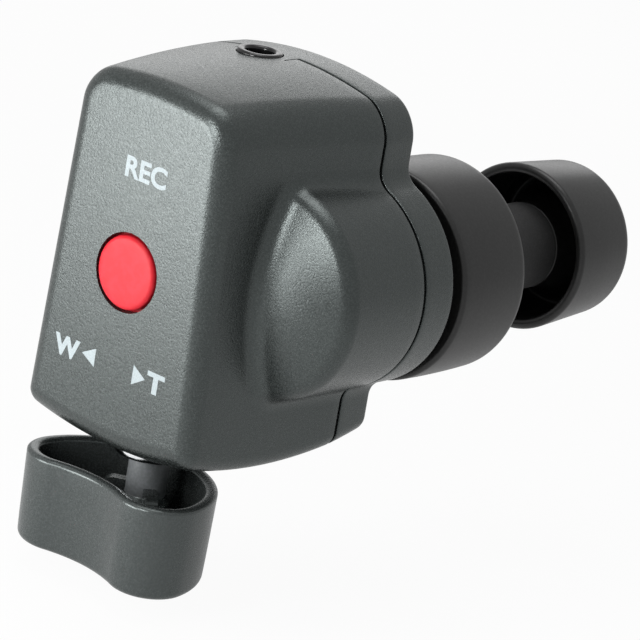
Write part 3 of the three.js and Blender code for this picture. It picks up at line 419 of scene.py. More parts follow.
def barrelDistance(x, depth, z):
    # a drafted round side, and a front dome that falls back by the square of the distance from the axis
    q = barrel
    off = np.hypot(x - q["x"], z - q["z"])
    along = (depth - q["front"]) / (housing["depth"] - q["front"])
    side = off - q["radius"] + q["draft"] * (1 - along)
    slope = 2 * q["nose"] * off / q["radius"] ** 2
    front = (q["front"] + slope * off / 2 - depth) / np.hypot(1, slope)
    return roundedCorner(side, front, q["edgeRadius"])


def housingDistance(x, depth, z):
    # the nearer of box and barrel, less a soft crease where both are about as near
    box, round_ = boxDistance(x, depth, z), barrelDistance(x, depth, z)
    blend = np.maximum(housing["creaseBlend"] - np.abs(box - round_), 0)
    return np.minimum(box, round_) - blend ** 2 / (4 * housing["creaseBlend"])


def loftCentre(depth):
    # the rays' centre line moves evenly from the face's to the barrel's
    m = housingMesh
    return m["faceCentre"] + (m["barrelCentre"] - m["faceCentre"]) * np.minimum(depth / barrel["front"], 1)


def housingRings(depths, insets):
    # one ring for each depth and inset: rays from the centre line are halved until they meet the surface, and
    # each side's points are then spaced evenly in length plus weighted bend
    q, depths, insets = housingMesh, np.asarray(depths, float), np.asarray(insets, float)
    centre = loftCentre(depths)
    right, left = halfWidthAt(depths) - centre, -halfWidthAt(depths) - centre
    start = np.arctan2(-bottomAt(depths), right)
    corners = np.stack([start, np.arctan2(topAt(depths), right), np.arctan2(topAt(depths), left),
                        np.arctan2(-bottomAt(depths), left) + tau, start + tau])
    rings = []
    for side, count in enumerate(q["sidePoints"]):
        share = np.arange(q["rays"] + 2) / q["rays"]
        angle = corners[side][:, None] + (corners[side + 1] - corners[side])[:, None] * share
        near = np.zeros_like(angle)
        far = np.full_like(angle, q["reach"])
        depthGrid = np.broadcast_to(depths[:, None], angle.shape)
        for _ in range(q["halvings"]):
            middle = (near + far) / 2
            x = centre[:, None] + middle * np.cos(angle)
            outside = housingDistance(x, depthGrid, middle * np.sin(angle)) + insets[:, None] > 0
            far = np.where(outside, middle, far)
            near = np.where(outside, near, middle)
        x, z = centre[:, None] + near * np.cos(angle), near * np.sin(angle)
        dx, dz = np.diff(x, axis=1), np.diff(z, axis=1)
        bend = np.abs(np.arctan2(dx[:, :-1] * dz[:, 1:] - dz[:, :-1] * dx[:, 1:],
                                 dx[:, :-1] * dx[:, 1:] + dz[:, :-1] * dz[:, 1:]))
        spent = np.cumsum(np.hypot(dx, dz)[:, :-1] + q["bendWeight"] * bend, axis=1)
        spent = np.hstack([np.zeros((len(depths), 1)), spent])
        wanted = spent[:, -1:] * np.arange(count) / count
        sideX = np.stack([np.interp(w, s, v) for w, s, v in zip(wanted, spent, x[:, :-1])])
        sideZ = np.stack([np.interp(w, s, v) for w, s, v in zip(wanted, spent, z[:, :-1])])
        rings.append(np.stack([sideX, np.broadcast_to(depths[:, None], sideX.shape), sideZ], -1))
    return np.concatenate(rings, axis=1)


def capRings(ring, shares):
    # copies of a flat ring drawn in to its middle
    middle = ring.mean(0)
    return np.stack([middle + (ring - middle) * share for share in shares])


def capped(rings, shares):
    # rings with a cap before and after them
    return np.concatenate([capRings(rings[0], shares), rings, capRings(rings[-1], shares[::-1])])


def housingSolid(name, depths, insets):
    # the form between the first and the last depth, drawn in by insets
    return stackSolid(name, capped(housingRings(depths, insets), housingMesh["capShares"]))


def quarterTurn(steps):
    # angles from none to a quarter turn, evenly
    return np.pi / 2 * np.arange(steps + 1) / steps


def outerDepths(back):
    # face edge, then close rings over the barrel's nose, then wider ones to the back
    q, nose = housingMesh, barrel["nose"] + barrel["edgeRadius"]
    first = housing["faceEdgeRadius"] * (1 - np.cos(quarterTurn(q["edgeSteps"])))
    second = np.linspace(barrel["front"] - q["noseBefore"] * nose, barrel["front"] + q["noseAfter"] * nose,
                         q["noseSteps"])
    third = np.linspace(second[-1], back, q["backSteps"] + 1)[1:]
    return np.concatenate([first, second, third])


def rod(name, radius, low, high, centre, axis, steps=96):
    # a plain round bar along an axis, for cutting with
    return turned(name, [(0, low), (radius, low), (radius, high), (0, high)], centre, axis, steps)


def block(name, low, high):
    # a closed box between two corners
    pick = np.array([[0, 0, 0], [1, 0, 0], [1, 1, 0], [0, 1, 0], [0, 0, 1], [1, 0, 1], [1, 1, 1], [0, 1, 1]])
    points = np.where(pick == 1, high, low)  # the corners' places, picked from the two
    faces = [(0, 3, 2, 1), (4, 5, 6, 7), (0, 1, 5, 4), (1, 2, 6, 5), (2, 3, 7, 6), (3, 0, 4, 7)]
    return meshObject(name, points, faces)


clearance = 0.3
jack = dict(x=-4.6, depth=30.4, collarRadius=3.9, proud=0.5, hole=2.5, height=3.1, tongueHalfWidth=5.3, seat=0.2,
            seam=0.4)
socket = dict(depth=13.5, z=-18.2, radius=8.2, wall=1.8, mouth=-19.0, end=13.0, floor=2.0, insertRadius=4.3,
              bossRadius=7.0, bossBottom=-28.9, boreFrom=1, boreShort=0.4, wellFrom=-31)
button = dict(radius=6.25, proud=0.35, gap=0.5, edge=0.8, flange=1.4, flangeThick=1.1, stemRadius=2.5, stem=1.6,
              crown=0.08, crownShare=0.7, shoulder=0.05, crownRound=12.0)
screw = dict(places=((-16.6, 26.6), (16.6, 26.6), (-16.6, -24.7), (16.6, -24.7)), sink=2.2, headRadius=2.5,
             headThick=1.8, shankRadius=1.2, length=11.0, tip=1.4, crown=0.2, slotWidth=0.75, slotReach=1.75,
             slotDepth=1.1, slotOver=1)
# the lines that the turned pieces stand on
jackAxis, clampAxis, gripAxis = (jack["x"], jack["depth"], 0), (0, socket["depth"], 0), (grip["x"], 0, grip["z"])

# where the cuts of the shells begin and end
frontCuts = dict(hollowStart=(0.0, 0.8, 1.8), hollowFrom=5, hollowPast=2, hollowSteps=24, button=(-3, 8),
                 sleeveBefore=4, sleeveTo=-10, insert=(-36, -26), notchBack=36.0)
rearCuts = dict(roundSteps=7, sideSteps=6, hollowBefore=2, hollowAfter=1, floorRound=0.6, floorInset=0.4,
                bushing=(36, 44), bushingRadius=5.3, well=(37.5, 44))
tongue = dict(bandPast=1.5, bandSteps=8, hollowPast=3, hollowSteps=4, back=1.2)
topCut = (24.0, 40.0)
breakShares, breakFull = (0.35, 0.7, 1.0), 0.98


def brokenEdge():
    # how far a broken edge's rings stand from its end and are drawn in: a quarter round, nearly closed
    share = np.array(breakShares)
    return housing["edgeBreak"] * (1 - share), housing["edgeBreak"] * (1 - np.sqrt(1 - share ** 2 * breakFull))


def tongueBlock(name, margin, back):
    # a block as wide as the tongue and a margin, from the jack's middle back
    x, half = jack["x"], jack["tongueHalfWidth"]
    return block(name, (x - half - margin, jack["depth"], topCut[0]), (x + half + margin, back, topCut[1]))


def makeFrontHousing():
    # the form from the face to the parting line, its edge broken there, less a hollow and the holes
    q, wall, (before, inset) = frontCuts, housing["wall"], brokenEdge()
    back = housing["partingDepth"] - housing["gap"] / 2
    depths = outerDepths(back - housing["edgeBreak"])
    shell = housingSolid("frontHousing", np.concatenate([depths, back - before]),
                         np.concatenate([np.zeros(len(depths)), inset]))
    inner = np.concatenate([wall + np.array(q["hollowStart"]),
                            np.linspace(q["hollowFrom"], back + q["hollowPast"], q["hollowSteps"])])
    cutters = [
        housingSolid("frontHollow", inner, np.full(len(inner), wall)),
        rod("buttonHole", button["radius"] + button["gap"], *q["button"], (0, 0, 0), "Y"),
        rod("sleeveHole", socket["radius"] + socket["wall"] + clearance, socket["mouth"] - q["sleeveBefore"],
            q["sleeveTo"], (0, socket["depth"], socket["z"]), "X"),
        rod("insertHole", socket["insertRadius"] + clearance, *q["insert"], clampAxis, "Z"),
        tongueBlock("jackNotch", clearance, q["notchBack"]),
        rod("jackNotchRound", jack["collarRadius"] + jack["seat"], *topCut, jackAxis, "Z"),
    ]
    combined(shell, cutters)
    finished(shell, housingPlastic, "housing", "housing_plastic", "front_shell")


def jackTongue(front):
    # the rear shell reaches forward to the jack with a band of the housing's wall, cut to a width
    q = tongue
    bandDepth = np.linspace(jack["depth"] - q["bandPast"], front + q["bandPast"], q["bandSteps"])
    band = housingSolid("tongueBand", bandDepth, np.zeros(q["bandSteps"]))
    hollowDepth = np.linspace(jack["depth"] - q["hollowPast"], front + q["hollowPast"], q["hollowSteps"])
    hollow = housingSolid("tongueHollow", hollowDepth, np.full(q["hollowSteps"], housing["wall"]))
    combined(band, [hollow])
    return combined(band, [tongueBlock("tongueKeep", 0, front + q["back"])], "INTERSECT")


def makeRearHousing():
    # the form behind the parting line, its edges rounded, less a hollow and the holes, with the tongue
    q, rounding, wall, (after, inset) = rearCuts, housing["rearEdgeRadius"], housing["wall"], brokenEdge()
    front, rear = housing["partingDepth"] + housing["gap"] / 2, housing["depth"]
    turn = quarterTurn(q["roundSteps"])[1:]
    side = np.linspace(front + housing["edgeBreak"], rear - rounding, q["sideSteps"])
    depths = np.concatenate([front + after[::-1], side, rear - rounding * (1 - np.sin(turn))])
    insets = np.concatenate([inset[::-1], np.zeros(q["sideSteps"]), rounding * (1 - np.cos(turn))])
    shell = housingSolid("rearHousing", depths, insets)
    floor = rear - wall
    hollow = housingSolid("rearHollow", [front - q["hollowBefore"], front + q["hollowAfter"], floor - q["floorRound"],
                                         floor], [wall, wall, wall, wall + q["floorInset"]])
    combined(shell, [hollow])
    combined(shell, [jackTongue(front)], "UNION")
    cutters = [
        rod("collarHole", jack["collarRadius"] + jack["seat"], *topCut, jackAxis, "Z"),
        rod("bushingHole", q["bushingRadius"], *q["bushing"], gripAxis, "Y"),
    ]
    for k, (x, z) in enumerate(screw["places"]):
        cutters.append(rod(f"screwWell{k}", screw["headRadius"] + clearance, *q["well"], (x, 0, z), "Y", 48))
    combined(shell, cutters)
    finished(shell, housingPlastic, "housing", "housing_plastic", "rear_shell")


makeFrontHousing()
makeRearHousing()
print("stage: housing made")


def makeButton():
    # a cap crowned by a wide arc, with a flange and a stem behind the face
    q = button
    face, rim = -q["proud"], q["radius"] + q["flange"]
    front = housing["wall"] + clearance
    back = front + q["flangeThick"]
    profile = filleted([
        (0, face - q["crown"], 0), (q["radius"] * q["crownShare"], face - q["shoulder"], q["crownRound"]),
        (q["radius"], face, q["edge"]), (q["radius"], front, 0.1), (rim, front, 0.15), (rim, back, 0.15),
        (q["stemRadius"], back, 0.15), (q["stemRadius"], back + q["stem"], 0.2), (0, back + q["stem"], 0),
    ])
    finished(turned("recordButton", profile, (0, 0, 0), "Y"), recordRed, "record_key", "red_plastic", "rec_button")


def makeJackCollar():
    # a turned ring, proud of the crowned top, its profile closed at a seam underneath
    q = jack
    surface = topAt(q["depth"]) - housing["topSideFall"] * (q["x"] / housing["partingHalfWidth"]) ** 2
    top = surface + q["proud"]
    low, seam = top - q["height"], q["hole"] + q["seam"]
    profile = filleted([
        (seam, low, 0), (q["collarRadius"], low, 0.15), (q["collarRadius"], top, 0.45), (q["hole"], top, 0.6),
        (q["hole"], low, 0.2), (seam, low, 0),
    ])[:-1]
    finished(turned("jackCollar", profile, jackAxis, "Z"), glossBlack, "housing", "satin_black_plastic", "jack_collar")


def makeSocketSleeve():
    # a blind tube for the pan bar, and a boss under it that is bored for the clamp insert
    q = socket
    outer, inside = q["radius"] + q["wall"], q["end"] - q["floor"]
    middle = (0, q["depth"], q["z"])
    profile = filleted([
        (0, q["end"], 0), (outer, q["end"], 0.4), (outer, q["mouth"], 0.35), (q["radius"], q["mouth"], 0.7),
        (q["radius"], inside, 0.8), (0, inside, 0),
    ])
    sleeve = turned("socketSleeve", profile, middle, "X")
    boss = rod("sleeveBoss", q["bossRadius"], q["bossBottom"], q["z"], clampAxis, "Z")
    bore = rod("bossBore", q["radius"], q["mouth"] + q["boreFrom"], inside - q["boreShort"], middle, "X")
    combined(boss, [bore])
    combined(sleeve, [boss], "UNION")
    well = rod("insertWell", q["insertRadius"] + clearance, q["wellFrom"], q["z"], clampAxis, "Z")
    combined(sleeve, [well])
    finished(sleeve, mouldedBlack, "housing", "black_moulding", "clamp_sleeve")


insert = dict(gap=0.15, thick=1.2, flange=6.5, bore=2.7, top=-28.3)


def flangedBush(name, centre, axis, radii, places, rounds, steps):
    # radii of bore, body and flange, places of the flange's face, its back and the body's end, rounds of the flange
    (bore, body, flange), (face, back, end), (faceRound, backRound) = radii, places, rounds
    profile = filleted([(bore, face, 0), (flange, face, faceRound), (flange, back, backRound), (body, back, 0.1),
                        (body, end, 0.3), (bore, end, 0.2), (bore, face, 0)])[:-1]
    return turned(name, profile, centre, axis, steps)


def makeClampInsert():
    # its flange is the bright strip under the housing
    q, top = insert, -housing["bellyBottom"] - insert["gap"]
    bush = flangedBush("clampInsert", clampAxis, "Z", (q["bore"], socket["insertRadius"], q["flange"]),
                       (top - q["thick"], top, q["top"]), (0.45, 0.15), 128)
    finished(bush, chromePlate, "housing", "chrome_plate", "clamp_insert")


stud = dict(top=-26.2, length=20.0, radius=2.4, pitch=1.0, threadDepth=0.42, columns=36, rows=260, point=0.6,
            pointShare=0.8, flank=1.25, flat=0.1, taper=0.8, taperFrom=0.75)


def makeClampStud():
    # a rod whose radius falls in a triangular thread: depth by the distance from the crest, one turn for a pitch
    q, depth, top, columns = stud, socket["depth"], stud["top"], stud["columns"]
    foot = top - q["length"]
    height = np.linspace(foot, top - q["point"], q["rows"])[:, None]
    angle = tau * np.arange(columns)[None, :] / columns
    turns = (height / q["pitch"] + angle / tau) % 1.0
    ridge = np.abs(turns - 0.5) * 2
    r = q["radius"] - q["threadDepth"] * np.clip(ridge * q["flank"] - q["flat"], 0, 1)
    end = np.clip((height - foot) / q["taper"], 0, 1)
    r = r * (q["taperFrom"] + (1 - q["taperFrom"]) * end)
    rings = np.stack([r * np.cos(angle), r * np.sin(angle) + depth, np.broadcast_to(height, r.shape)], -1)
    # the last ring is drawn in to make the point
    last = rings[-1].copy()
    last[:, :2] = (last[:, :2] - (0, depth)) * q["pointShare"] + (0, depth)
    last[:, 2] = top
    screwRod = stackSolid("clampStud", np.concatenate([rings, last[None]]), [(0, depth, foot), (0, depth, top)])
    finished(screwRod, turnedSteel, "clamp_screw", "steel", "clamp_stud", sharpAngle=50)


pad = dict(radius=4.0, low=-25.9, high=-24.4)


def makeClampPad():
    # a low disc that the stud presses on the pan bar
    radius, low, high = pad["radius"], pad["low"], pad["high"]
    profile = filleted([(0, low, 0), (radius, low, 0.3), (radius, high, 0.4), (0, high, 0)])
    finished(turned("clampPad", profile, clampAxis, "Z"), naturalNylon, "clamp_lift", "nylon", "clamp_pad")


clampKnob = dict(rim=-36.2, height=16.3, backRadius=18.4, backForward=9.3, lobeRadius=7.6, lobeTurn=7.6, dipReach=13.5,
                 turn=-2.0, draft=0.4, wall=2.2, rimRound=0.8, footRound=1.4, cove=1.2, hubRadius=3.5, hubGap=0.4,
                 hubSink=1, collarShare=1.3, collarDrop=3.0, collarRound=0.6, collarStep=1.2, hubMargin=0.05,
                 bore=(2.7, 13, 2), gussetReach=7.0, gussetFoot=10.0, gussetDrop=3.0, gussetThick=2.0,
                 gussetTurn=-36.0, gussetRound=2.0)
clampMesh = dict(lobe=44, back=96, dip=48, quarter=8, half=12, side=6, inner=5, capShares=(0.004, 0.5, 0.9, 0.97))


def kidneyRings(insets, heights):
    # a round back, a lobe at each end of it, and a dip in front whose arc touches both lobes, drawn in by an inset
    q, mesh = clampKnob, clampMesh
    lobeTurn, backY, out = math.radians(q["lobeTurn"]), -q["backForward"], q["backRadius"] - q["lobeRadius"]
    lobe = np.array([out * math.cos(lobeTurn), backY + out * math.sin(lobeTurn)])
    ahead = q["dipReach"] + lobe[1]
    dipArc = (lobe[0] ** 2 + ahead ** 2 - q["lobeRadius"] ** 2) / (2 * (q["lobeRadius"] - ahead))
    dip = np.array([0, -q["dipReach"] - dipArc])
    meet = math.atan2(lobe[1] - dip[1], lobe[0])
    arcs = [
        # centre, radius, what an inset adds to it, first and last angle, points
        (lobe, q["lobeRadius"], -1, meet - math.pi, lobeTurn, mesh["lobe"]),
        ((0, backY), q["backRadius"], -1, lobeTurn, math.pi - lobeTurn, mesh["back"]),
        ((-lobe[0], lobe[1]), q["lobeRadius"], -1, math.pi - lobeTurn, tau - meet, mesh["lobe"]),
        (dip, dipArc, 1, math.pi - meet, meet, mesh["dip"]),
    ]
    insets, heights = insets[:, None], heights[:, None]
    parts = []
    for centre, radius, sign, first, last, steps in arcs:
        angle = (first + (last - first) * np.arange(steps) / steps)[None, :]
        r = radius + sign * insets
        parts.append(np.stack([centre[0] + r * np.cos(angle), centre[1] + r * np.sin(angle),
                               np.broadcast_to(heights, (len(heights), steps))], -1))
    return aboutClamp(*np.concatenate(parts, axis=1).transpose(2, 0, 1), q["turn"])


def aboutClamp(x, y, z, turn):
    # turned about the clamp's axis by degrees
    c, s = math.cos(math.radians(turn)), math.sin(math.radians(turn))
    return np.stack([x * c - y * s, x * s + y * c + socket["depth"], z], -1)


def gusset(name, turn):
    # a flat web from the hub, with a rounded top corner
    q = clampKnob
    top = q["rim"] - q["gussetDrop"]
    floor = q["rim"] - q["height"] + q["wall"] / 2
    outline = filleted([(0, floor, 0), (q["gussetFoot"], floor, 0), (q["gussetReach"], top, q["gussetRound"]),
                        (0, top, 0)], 8)
    half, count = q["gussetThick"] / 2, len(outline)
    points = np.vstack([aboutClamp(outline[:, 0], off, outline[:, 1], turn + q["turn"]) for off in (-half, half)])
    k = np.arange(count)
    following = (k + 1) % count
    faces = np.stack([k, following, following + count, k + count], -1).tolist()
    faces += [list(range(count))[::-1], list(range(count, 2 * count))]
    return outward(meshObject(name, points, faces))


def makeClampKnob():
    # a cup of kidney rings from the foot over the rim to the floor, with a hub, two webs and a bore for the stud
    q, mesh = clampKnob, clampMesh
    rim, foot, below, draft = q["rim"], q["rim"] - q["height"], q["footRound"], q["draft"]
    floor = foot + q["wall"]
    turn = quarterTurn(mesh["quarter"])
    side = np.linspace(foot + below, rim - q["rimRound"], mesh["side"])[1:]
    half = q["wall"] / 2
    over = np.pi * np.arange(1, mesh["half"] + 1) / mesh["half"]
    inner = np.linspace(rim - q["rimRound"], floor + q["cove"], mesh["inner"])[1:]
    innerInset = q["wall"] + draft * (rim - inner) / q["height"]
    # insets and heights: rounded foot, drafted side, half round over the rim, inner wall and cove
    insets, heights = np.hstack([
        (draft + below * (1 - np.sin(turn)), foot + below * (1 - np.cos(turn))),
        (draft * (1 - (side - foot) / q["height"]), side),
        (half - half * np.cos(over), rim - q["rimRound"] + q["rimRound"] * np.sin(over)),
        (innerInset, inner),
        (innerInset[-1] + q["cove"] * (1 - np.cos(turn[1:])), floor + q["cove"] * (1 - np.sin(turn[1:]))),
    ])
    knob = stackSolid("clampKnobCup", capped(kidneyRings(insets, heights), mesh["capShares"]))
    hubTop = -housing["bellyBottom"] - insert["gap"] - insert["thick"] - q["hubGap"]
    collarTop = rim - q["gussetDrop"] - q["collarDrop"]
    collar, sunk = q["hubRadius"] * q["collarShare"], floor - q["hubSink"]
    hub = turned("knobHub", filleted([
        (0, sunk, 0), (collar, sunk, 0), (collar, collarTop, q["collarRound"]),
        (q["hubRadius"], collarTop + q["collarStep"], 0.5), (q["hubRadius"], hubTop, 0.3), (0, hubTop, 0),
    ]), clampAxis, "Z", 96)
    combined(knob, [hub, gusset("rightWeb", q["gussetTurn"]), gusset("leftWeb", 180 - q["gussetTurn"])], "UNION")
    boreRadius, boreDepth, boreOver = q["bore"]
    bore = rod("studBore", boreRadius, hubTop - boreDepth, hubTop + boreOver, clampAxis, "Z", 36)
    combined(knob, [bore])
    # the knob gets the housing's plastic made paler: its own charcoal plus painted sheen
    finished(knob, clampKnobPlasticPaintedSheen, "clamp_screw", "housing_plastic", "clamp_knob")
    # the hub above its collar is smooth and paler: on the same plastic as the rest of the knob, its pale colour is
    # painted sheen standing in for the highlight it catches
    knob.data.materials.append(hubPaintedSheen)
    centres = np.zeros(len(knob.data.polygons) * 3)
    knob.data.polygons.foreach_get("center", centres)
    centres = centres.reshape(-1, 3) / mm - faceShift
    onHub = np.hypot(centres[:, 0], centres[:, 1] - socket["depth"]) < q["hubRadius"] + q["hubMargin"]
    onHub &= centres[:, 2] > collarTop + q["collarRound"]
    knob.data.polygons.foreach_set("material_index", onHub.astype(np.int32))


makeButton()
makeJackCollar()
makeSocketSleeve()
makeClampInsert()
makeClampStud()
makeClampPad()
makeClampKnob()
print("stage: button, jack, socket and clamp made")


twistRing = dict(front=44.6, back=62.3, radius=18.6, waist=18.8, recess=4.0, recessRadius=15.0, bossRadius=8.0,
                 bossFront=42.9, bore=2.8, lip=0.9, backRound=1.8, sideSteps=9)
neck = dict(front=62.6, back=85.0, ringRadius=8.4, waistRadius=7.0, knobRadius=7.7, waistAt=0.45, rows=30)
endKnob = dict(rim=83.0, back=99.6, rimRadius=15.0, radius=13.9, wall=1.9, edge=2.6, floor=3.0, flare=11.0, crown=0.4,
               crownRound=20.0, shaftEnd=94.3, pocketEnd=91.9, pocketRadius=4.7, flareFrom=8, flareRound=6.0,
               floorIn=0.95, floorUp=1.9, rimRound=0.94)
bushing = dict(places=(38.4, 39.5, 42.6), flange=7.0, radius=5.0)


def makeTwistRing():
    # its side bulges by a parabola between its edges, and its front is recessed round a boss
    q = twistRing
    side = [(q["waist"] + (q["radius"] - q["waist"]) * (2 * t - 1) ** 2, q["front"] + (q["back"] - q["front"]) * t, 0)
            for t in np.linspace(0, 1, q["sideSteps"])[1:-1]]
    recess = q["front"] + q["recess"]
    profile = filleted([
        (q["bore"], q["bossFront"], 0), (q["bossRadius"], q["bossFront"], 0.4), (q["bossRadius"], recess, 0.8),
        (q["recessRadius"], recess, 0.8), (q["recessRadius"], q["front"], 0.5), (q["radius"], q["front"], q["lip"]),
        *side, (q["radius"], q["back"], q["backRound"]), (q["bore"], q["back"], 0), (q["bore"], q["bossFront"], 0),
    ], 8)[:-1]
    ring = turned("twistRing", profile, gripAxis, "Y", 192)
    finished(ring, satinBlack, "zoom_grip", "satin_black_plastic", "twist_ring")


def makeNeck():
    # the radius falls from the ring to the waist and rises again to the knob, as a raised cosine
    q, waist, waistAt, bore = neck, neck["waistRadius"], neck["waistAt"], twistRing["bore"]
    t = np.linspace(0, 1, q["rows"])
    before = waist + (q["ringRadius"] - waist) * (0.5 + 0.5 * np.cos(np.pi * t / waistAt))
    after = waist + (q["knobRadius"] - waist) * (0.5 - 0.5 * np.cos(np.pi * (t - waistAt) / (1 - waistAt)))
    radius = np.where(t < waistAt, before, after)
    place = q["front"] + (q["back"] - q["front"]) * t
    profile = np.vstack([[(bore, q["front"])], np.stack([radius, place], -1), [(bore, q["back"])]])
    finished(turned("gripNeck", profile, gripAxis, "Y", 96), neckRubber, "zoom_grip", "soft_black_rubber", "grip_neck")


def makeEndKnob():
    # a skirted cup: pockets for the shaft and its nut, a flare to the floor, a rounded rim and a crowned end
    q, bore, stem = endKnob, twistRing["bore"], neck["knobRadius"]
    inner = q["rimRadius"] - q["wall"]
    floor, crown = q["back"] - q["floor"], q["back"] + q["crown"]
    hub = neck["back"] + clearance
    profile = filleted([
        (0, q["shaftEnd"], 0), (bore, q["shaftEnd"], 0), (bore, q["pocketEnd"], 0),
        (q["pocketRadius"], q["pocketEnd"], 0), (q["pocketRadius"], hub, 0), (stem, hub, 0.3),
        (stem, floor - q["flareFrom"], q["flareRound"]), (q["flare"], floor, 1.2), (inner - q["floorIn"], floor, 0.4),
        (inner, floor - q["floorUp"], 0.6), (inner, q["rim"], 0.9), (q["rimRadius"], q["rim"], q["rimRound"]),
        (q["radius"], q["back"], q["edge"]), (q["radius"] / 2, crown, q["crownRound"]), (0, crown, 0),
    ], 9)
    knob = turned("endKnobCup", profile, gripAxis, "Y", 160)
    finished(knob, satinBlack, "zoom_grip", "satin_black_plastic", "end_knob")


def makeBushing():
    # the grip's shaft turns in it
    q = bushing
    radii = (twistRing["bore"], q["radius"], q["flange"])
    bush = flangedBush("rearBushing", gripAxis, "Y", radii, q["places"], (0.2, 0.2), 96)
    finished(bush, turnedBrass, "housing", "brass", "rear_bushing")


def makeShellScrews():
    # pan head with a cross recess, sunk in its well
    q = screw
    seat = housing["depth"] - q["sink"] - q["headThick"]
    head, end = seat + q["headThick"], seat - q["length"]
    reach, half = q["slotReach"], q["slotWidth"] / 2
    low, high = head - q["slotDepth"], head + q["slotOver"]
    for k, (x, z) in enumerate(q["places"]):
        profile = filleted([
            (0, end, 0), (q["shankRadius"], end + q["tip"], 0.2), (q["shankRadius"], seat, 0.1),
            (q["headRadius"], seat, 0.2), (q["headRadius"], head - q["crown"], 0.7), (0, head, 0),
        ])
        piece = turned(f"shellScrew{k + 1}", profile, (x, 0, z), "Y", 48)
        slots = [block("slotA", (x - reach, low, z - half), (x + reach, high, z + half)),
                 block("slotB", (x - half, low, z - reach), (x + half, high, z + reach))]
        combined(piece, slots)
        finished(piece, blackSteel, "housing", "steel", f"shell_screw_{k + 1}")


makeTwistRing()
makeNeck()
makeEndKnob()
makeBushing()
makeShellScrews()
print("stage: twist grip and screws made")


marks = dict(
    lift=0.02, thickness=0.02, extrude=0.5, curveSteps=6,
    words=(("REC", "recMark", 0.97, 17.45, 9.1, 3.65, 0.03), ("W", "wideMark", -10.33, -16.4, 5.8, 3.6, 0.045),
           ("T", "teleMark", 9.85, -16.05, 3.86, 3.65, 0.045)),
    arrows=(("wideArrow", -6.83, -3.85, -16.15, 3.2), ("teleArrow", 7.54, 4.73, -16.1, 3.4)),
)


def makeWord(text, name, x, z, width, height, weight):
    # letters fitted to a width and a height about a centre, facing the front
    curve = bpy.data.curves.new(name, "FONT")
    curve.body = text
    curve.align_x = curve.align_y = "CENTER"
    curve.offset = weight
    curve.extrude = marks["extrude"]
    curve.resolution_u = marks["curveSteps"]
    letters = linked(name, curve)
    mesh = evaluatedMesh(letters)
    bpy.data.objects.remove(letters)
    places = vertexPlaces(mesh)
    low, high = places.min(0), places.max(0)
    unit = (places - (low + high) / 2) / (high - low)
    flat = np.stack([x + unit[:, 0] * width, -marks["lift"] - unit[:, 2] * marks["thickness"],
                     z + unit[:, 1] * height], -1)
    mesh.vertices.foreach_set("co", placed(flat).ravel())
    mesh.update()
    finished(outward(linked(name, mesh)), markInk, "housing", "nylon")


def makeArrow(name, tip, base, z, height):
    # a flat triangle from its tip to its base
    near, far = -marks["lift"] - marks["thickness"] / 2, -marks["lift"] + marks["thickness"] / 2
    corners = [(tip, z), (base, z + height / 2), (base, z - height / 2)]
    points = [(x, near, h) for x, h in corners] + [(x, far, h) for x, h in corners]
    faces = [(0, 1, 2), (5, 4, 3), (0, 3, 4, 1), (1, 4, 5, 2), (2, 5, 3, 0)]
    finished(outward(meshObject(name, points, faces)), markInk, "housing", "nylon")


for word in marks["words"]:
    makeWord(*word)
for arrow in marks["arrows"]:
    makeArrow(*arrow)
print("stage: face marks made")


kept = (
    (naturalNylon, ("rec_plunger", "centring_arm")),
    (mouldedBlack, ("rec_switch", "jack_body")),
    (boardGreen, ("main_board",)),
    (turnedBrass, ("sensor_nut", "knob_nut")),
    (turnedSteel, ("sensor_body", "sensor_bracket", "centring_spring", "shaft_clip", "grip_shaft", "board_screw_1",
                   "board_screw_2", "bracket_screw_1", "bracket_screw_2")),
)
for material, names in kept:
    for name in names:
        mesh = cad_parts[name].data
        mesh.materials.clear()
        mesh.materials.append(material)
print("stage: kept pieces dressed")


stage = dict(floorZ=-0.0385, floorHalf=3.0, floorColour=(0.86, 0.86, 0.86), cameraWhite=0.95, mirroredWhite=0.5,
             softStrength=0.20, whiteStrength=1.0)


def shareOf(nodes, source, share):
    # a value times a share
    node = nodes.new("ShaderNodeMath")
    node.operation = "MULTIPLY"
    node.inputs[1].default_value = share
    feed(source, node.inputs[0])
    return node.outputs["Value"]


def seenDirectly(nodes):
    # full for rays from the camera or a clear piece, and a share for mirrored rays
    path = nodes.new("ShaderNodeLightPath")
    last = shareOf(nodes, path.outputs["Is Glossy Ray"], stage["mirroredWhite"])
    for ray in ("Is Camera Ray", "Is Transmission Ray"):
        more = nodes.new("ShaderNodeMath")
        more.operation = "MAXIMUM"
        feed(last, more.inputs[0])
        feed(path.outputs[ray], more.inputs[1])
        last = more.outputs["Value"]
    return last


def mixedSurface(nodes, output, factor, first, second):
    # mixes two shaders by a factor onto an output's surface
    mixed = nodes.new("ShaderNodeMixShader")
    for source, name in ((factor, "Fac"), (first, 1), (second, 2)):
        feed(source, mixed.inputs[name])
    feed(mixed.outputs["Shader"], nodes.new(output).inputs["Surface"])


def makeFloor():
    # matt and pale for light, and nearly white where the camera sees it
    half, z = stage["floorHalf"], stage["floorZ"]
    mesh = bpy.data.meshes.new("floor")
    mesh.from_pydata([(-half, -half, z), (half, -half, z), (half, half, z), (-half, half, z)], [], [(0, 1, 2, 3)])
    floor = linked("floor", mesh)
    material = bpy.data.materials.new("paleFloor")
    nodes = emptyNodes(material)
    matt = nodes.new("ShaderNodeBsdfDiffuse")
    matt.inputs["Color"].default_value = (*stage["floorColour"], 1)
    white = nodes.new("ShaderNodeEmission")
    white.inputs["Color"].default_value = (1, 1, 1, 1)
    seen = shareOf(nodes, seenDirectly(nodes), stage["cameraWhite"])
    mixedSurface(nodes, "ShaderNodeOutputMaterial", seen, matt.outputs["BSDF"], white.outputs["Emission"])
    mesh.materials.append(material)


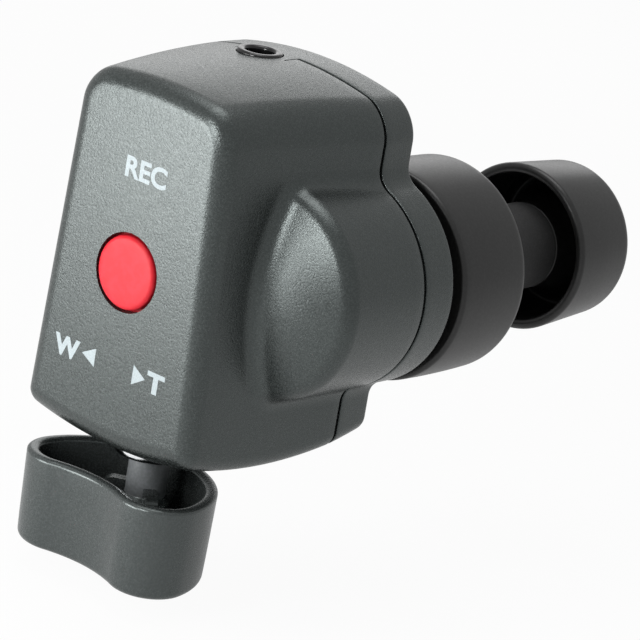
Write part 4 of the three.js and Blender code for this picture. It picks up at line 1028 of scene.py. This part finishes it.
def makeWorld():
    # an even pale grey for light, and white where the camera sees it
    world = bpy.data.worlds.new("studio")
    bpy.context.scene.world = world
    nodes = emptyNodes(world)
    lights = []
    for strength in (stage["softStrength"], stage["whiteStrength"]):
        light = nodes.new("ShaderNodeBackground")
        light.inputs["Color"].default_value = (1, 1, 1, 1)
        light.inputs["Strength"].default_value = strength
        lights.append(light.outputs["Background"])
    mixedSurface(nodes, "ShaderNodeOutputWorld", seenDirectly(nodes), *lights)


lamps = (
    # name, place, aim, width, height, power, in metres and watts
    ("keyBox", (-0.074, -0.1724, 0.018), (0.02, -0.0135, 0.022), 0.112, 0.10, 0.30),
    ("noseBox", (0.016, -0.170, 0.104), (0.049, -0.0015, 0.032), 0.045, 0.045, 0.080),
    ("frontBox", (0.030, -0.312, 0.105), (0.02, -0.0135, 0.03), 0.09, 0.12, 0.28),
    ("backBox", (-0.30, 0.42, 0.20), (0.02, 0.02, 0.04), 0.40, 0.26, 0.33),
    ("topBox", (-0.04, 0.02, 0.55), (0.02, 0.02, 0.0), 0.35, 0.35, 1.1),
)


def aimed(thing, place, right, up, back):
    # stands a lamp or camera at a place
    thing.matrix_world = Matrix([[right[k], up[k], back[k], place[k]] for k in range(3)] + [[0, 0, 0, 1]])


def makeLamps():
    # soft boxes, each turned to its aim and level
    for name, place, aim, width, height, power in lamps:
        light = bpy.data.lights.new(name, "AREA")
        light.shape = "RECTANGLE"
        light.size, light.size_y = width, height
        light.energy = power
        back = np.array(place) - np.array(aim)
        back = back / np.linalg.norm(back)
        right = np.cross((0, 0, 1), back)
        right = right / np.linalg.norm(right)
        aimed(linked(name, light), place, right, np.cross(back, right), back)


camera = dict(place=(374.64, -434.40, 178.98), right=(0.74963, 0.64123, 0.16397), up=(-0.31743, 0.13092, 0.93920),
              lens=206.72, sensor=36.0, clipStart=0.01)


def makeCamera():
    # the photograph's view, as fitted
    data = bpy.data.cameras.new("photoView")
    data.sensor_fit = "HORIZONTAL"
    data.sensor_width = camera["sensor"]
    data.lens = camera["lens"]
    data.clip_start = camera["clipStart"]
    thing = linked("photoView", data)
    right, up = np.array(camera["right"]), np.array(camera["up"])
    aimed(thing, placed(camera["place"]), right, up, np.cross(right, up))
    bpy.context.scene.camera = thing


makeFloor()
makeWorld()
makeLamps()
makeCamera()
bpy.context.scene.view_settings.view_transform = "Standard"
print("stage: floor, light and camera set")
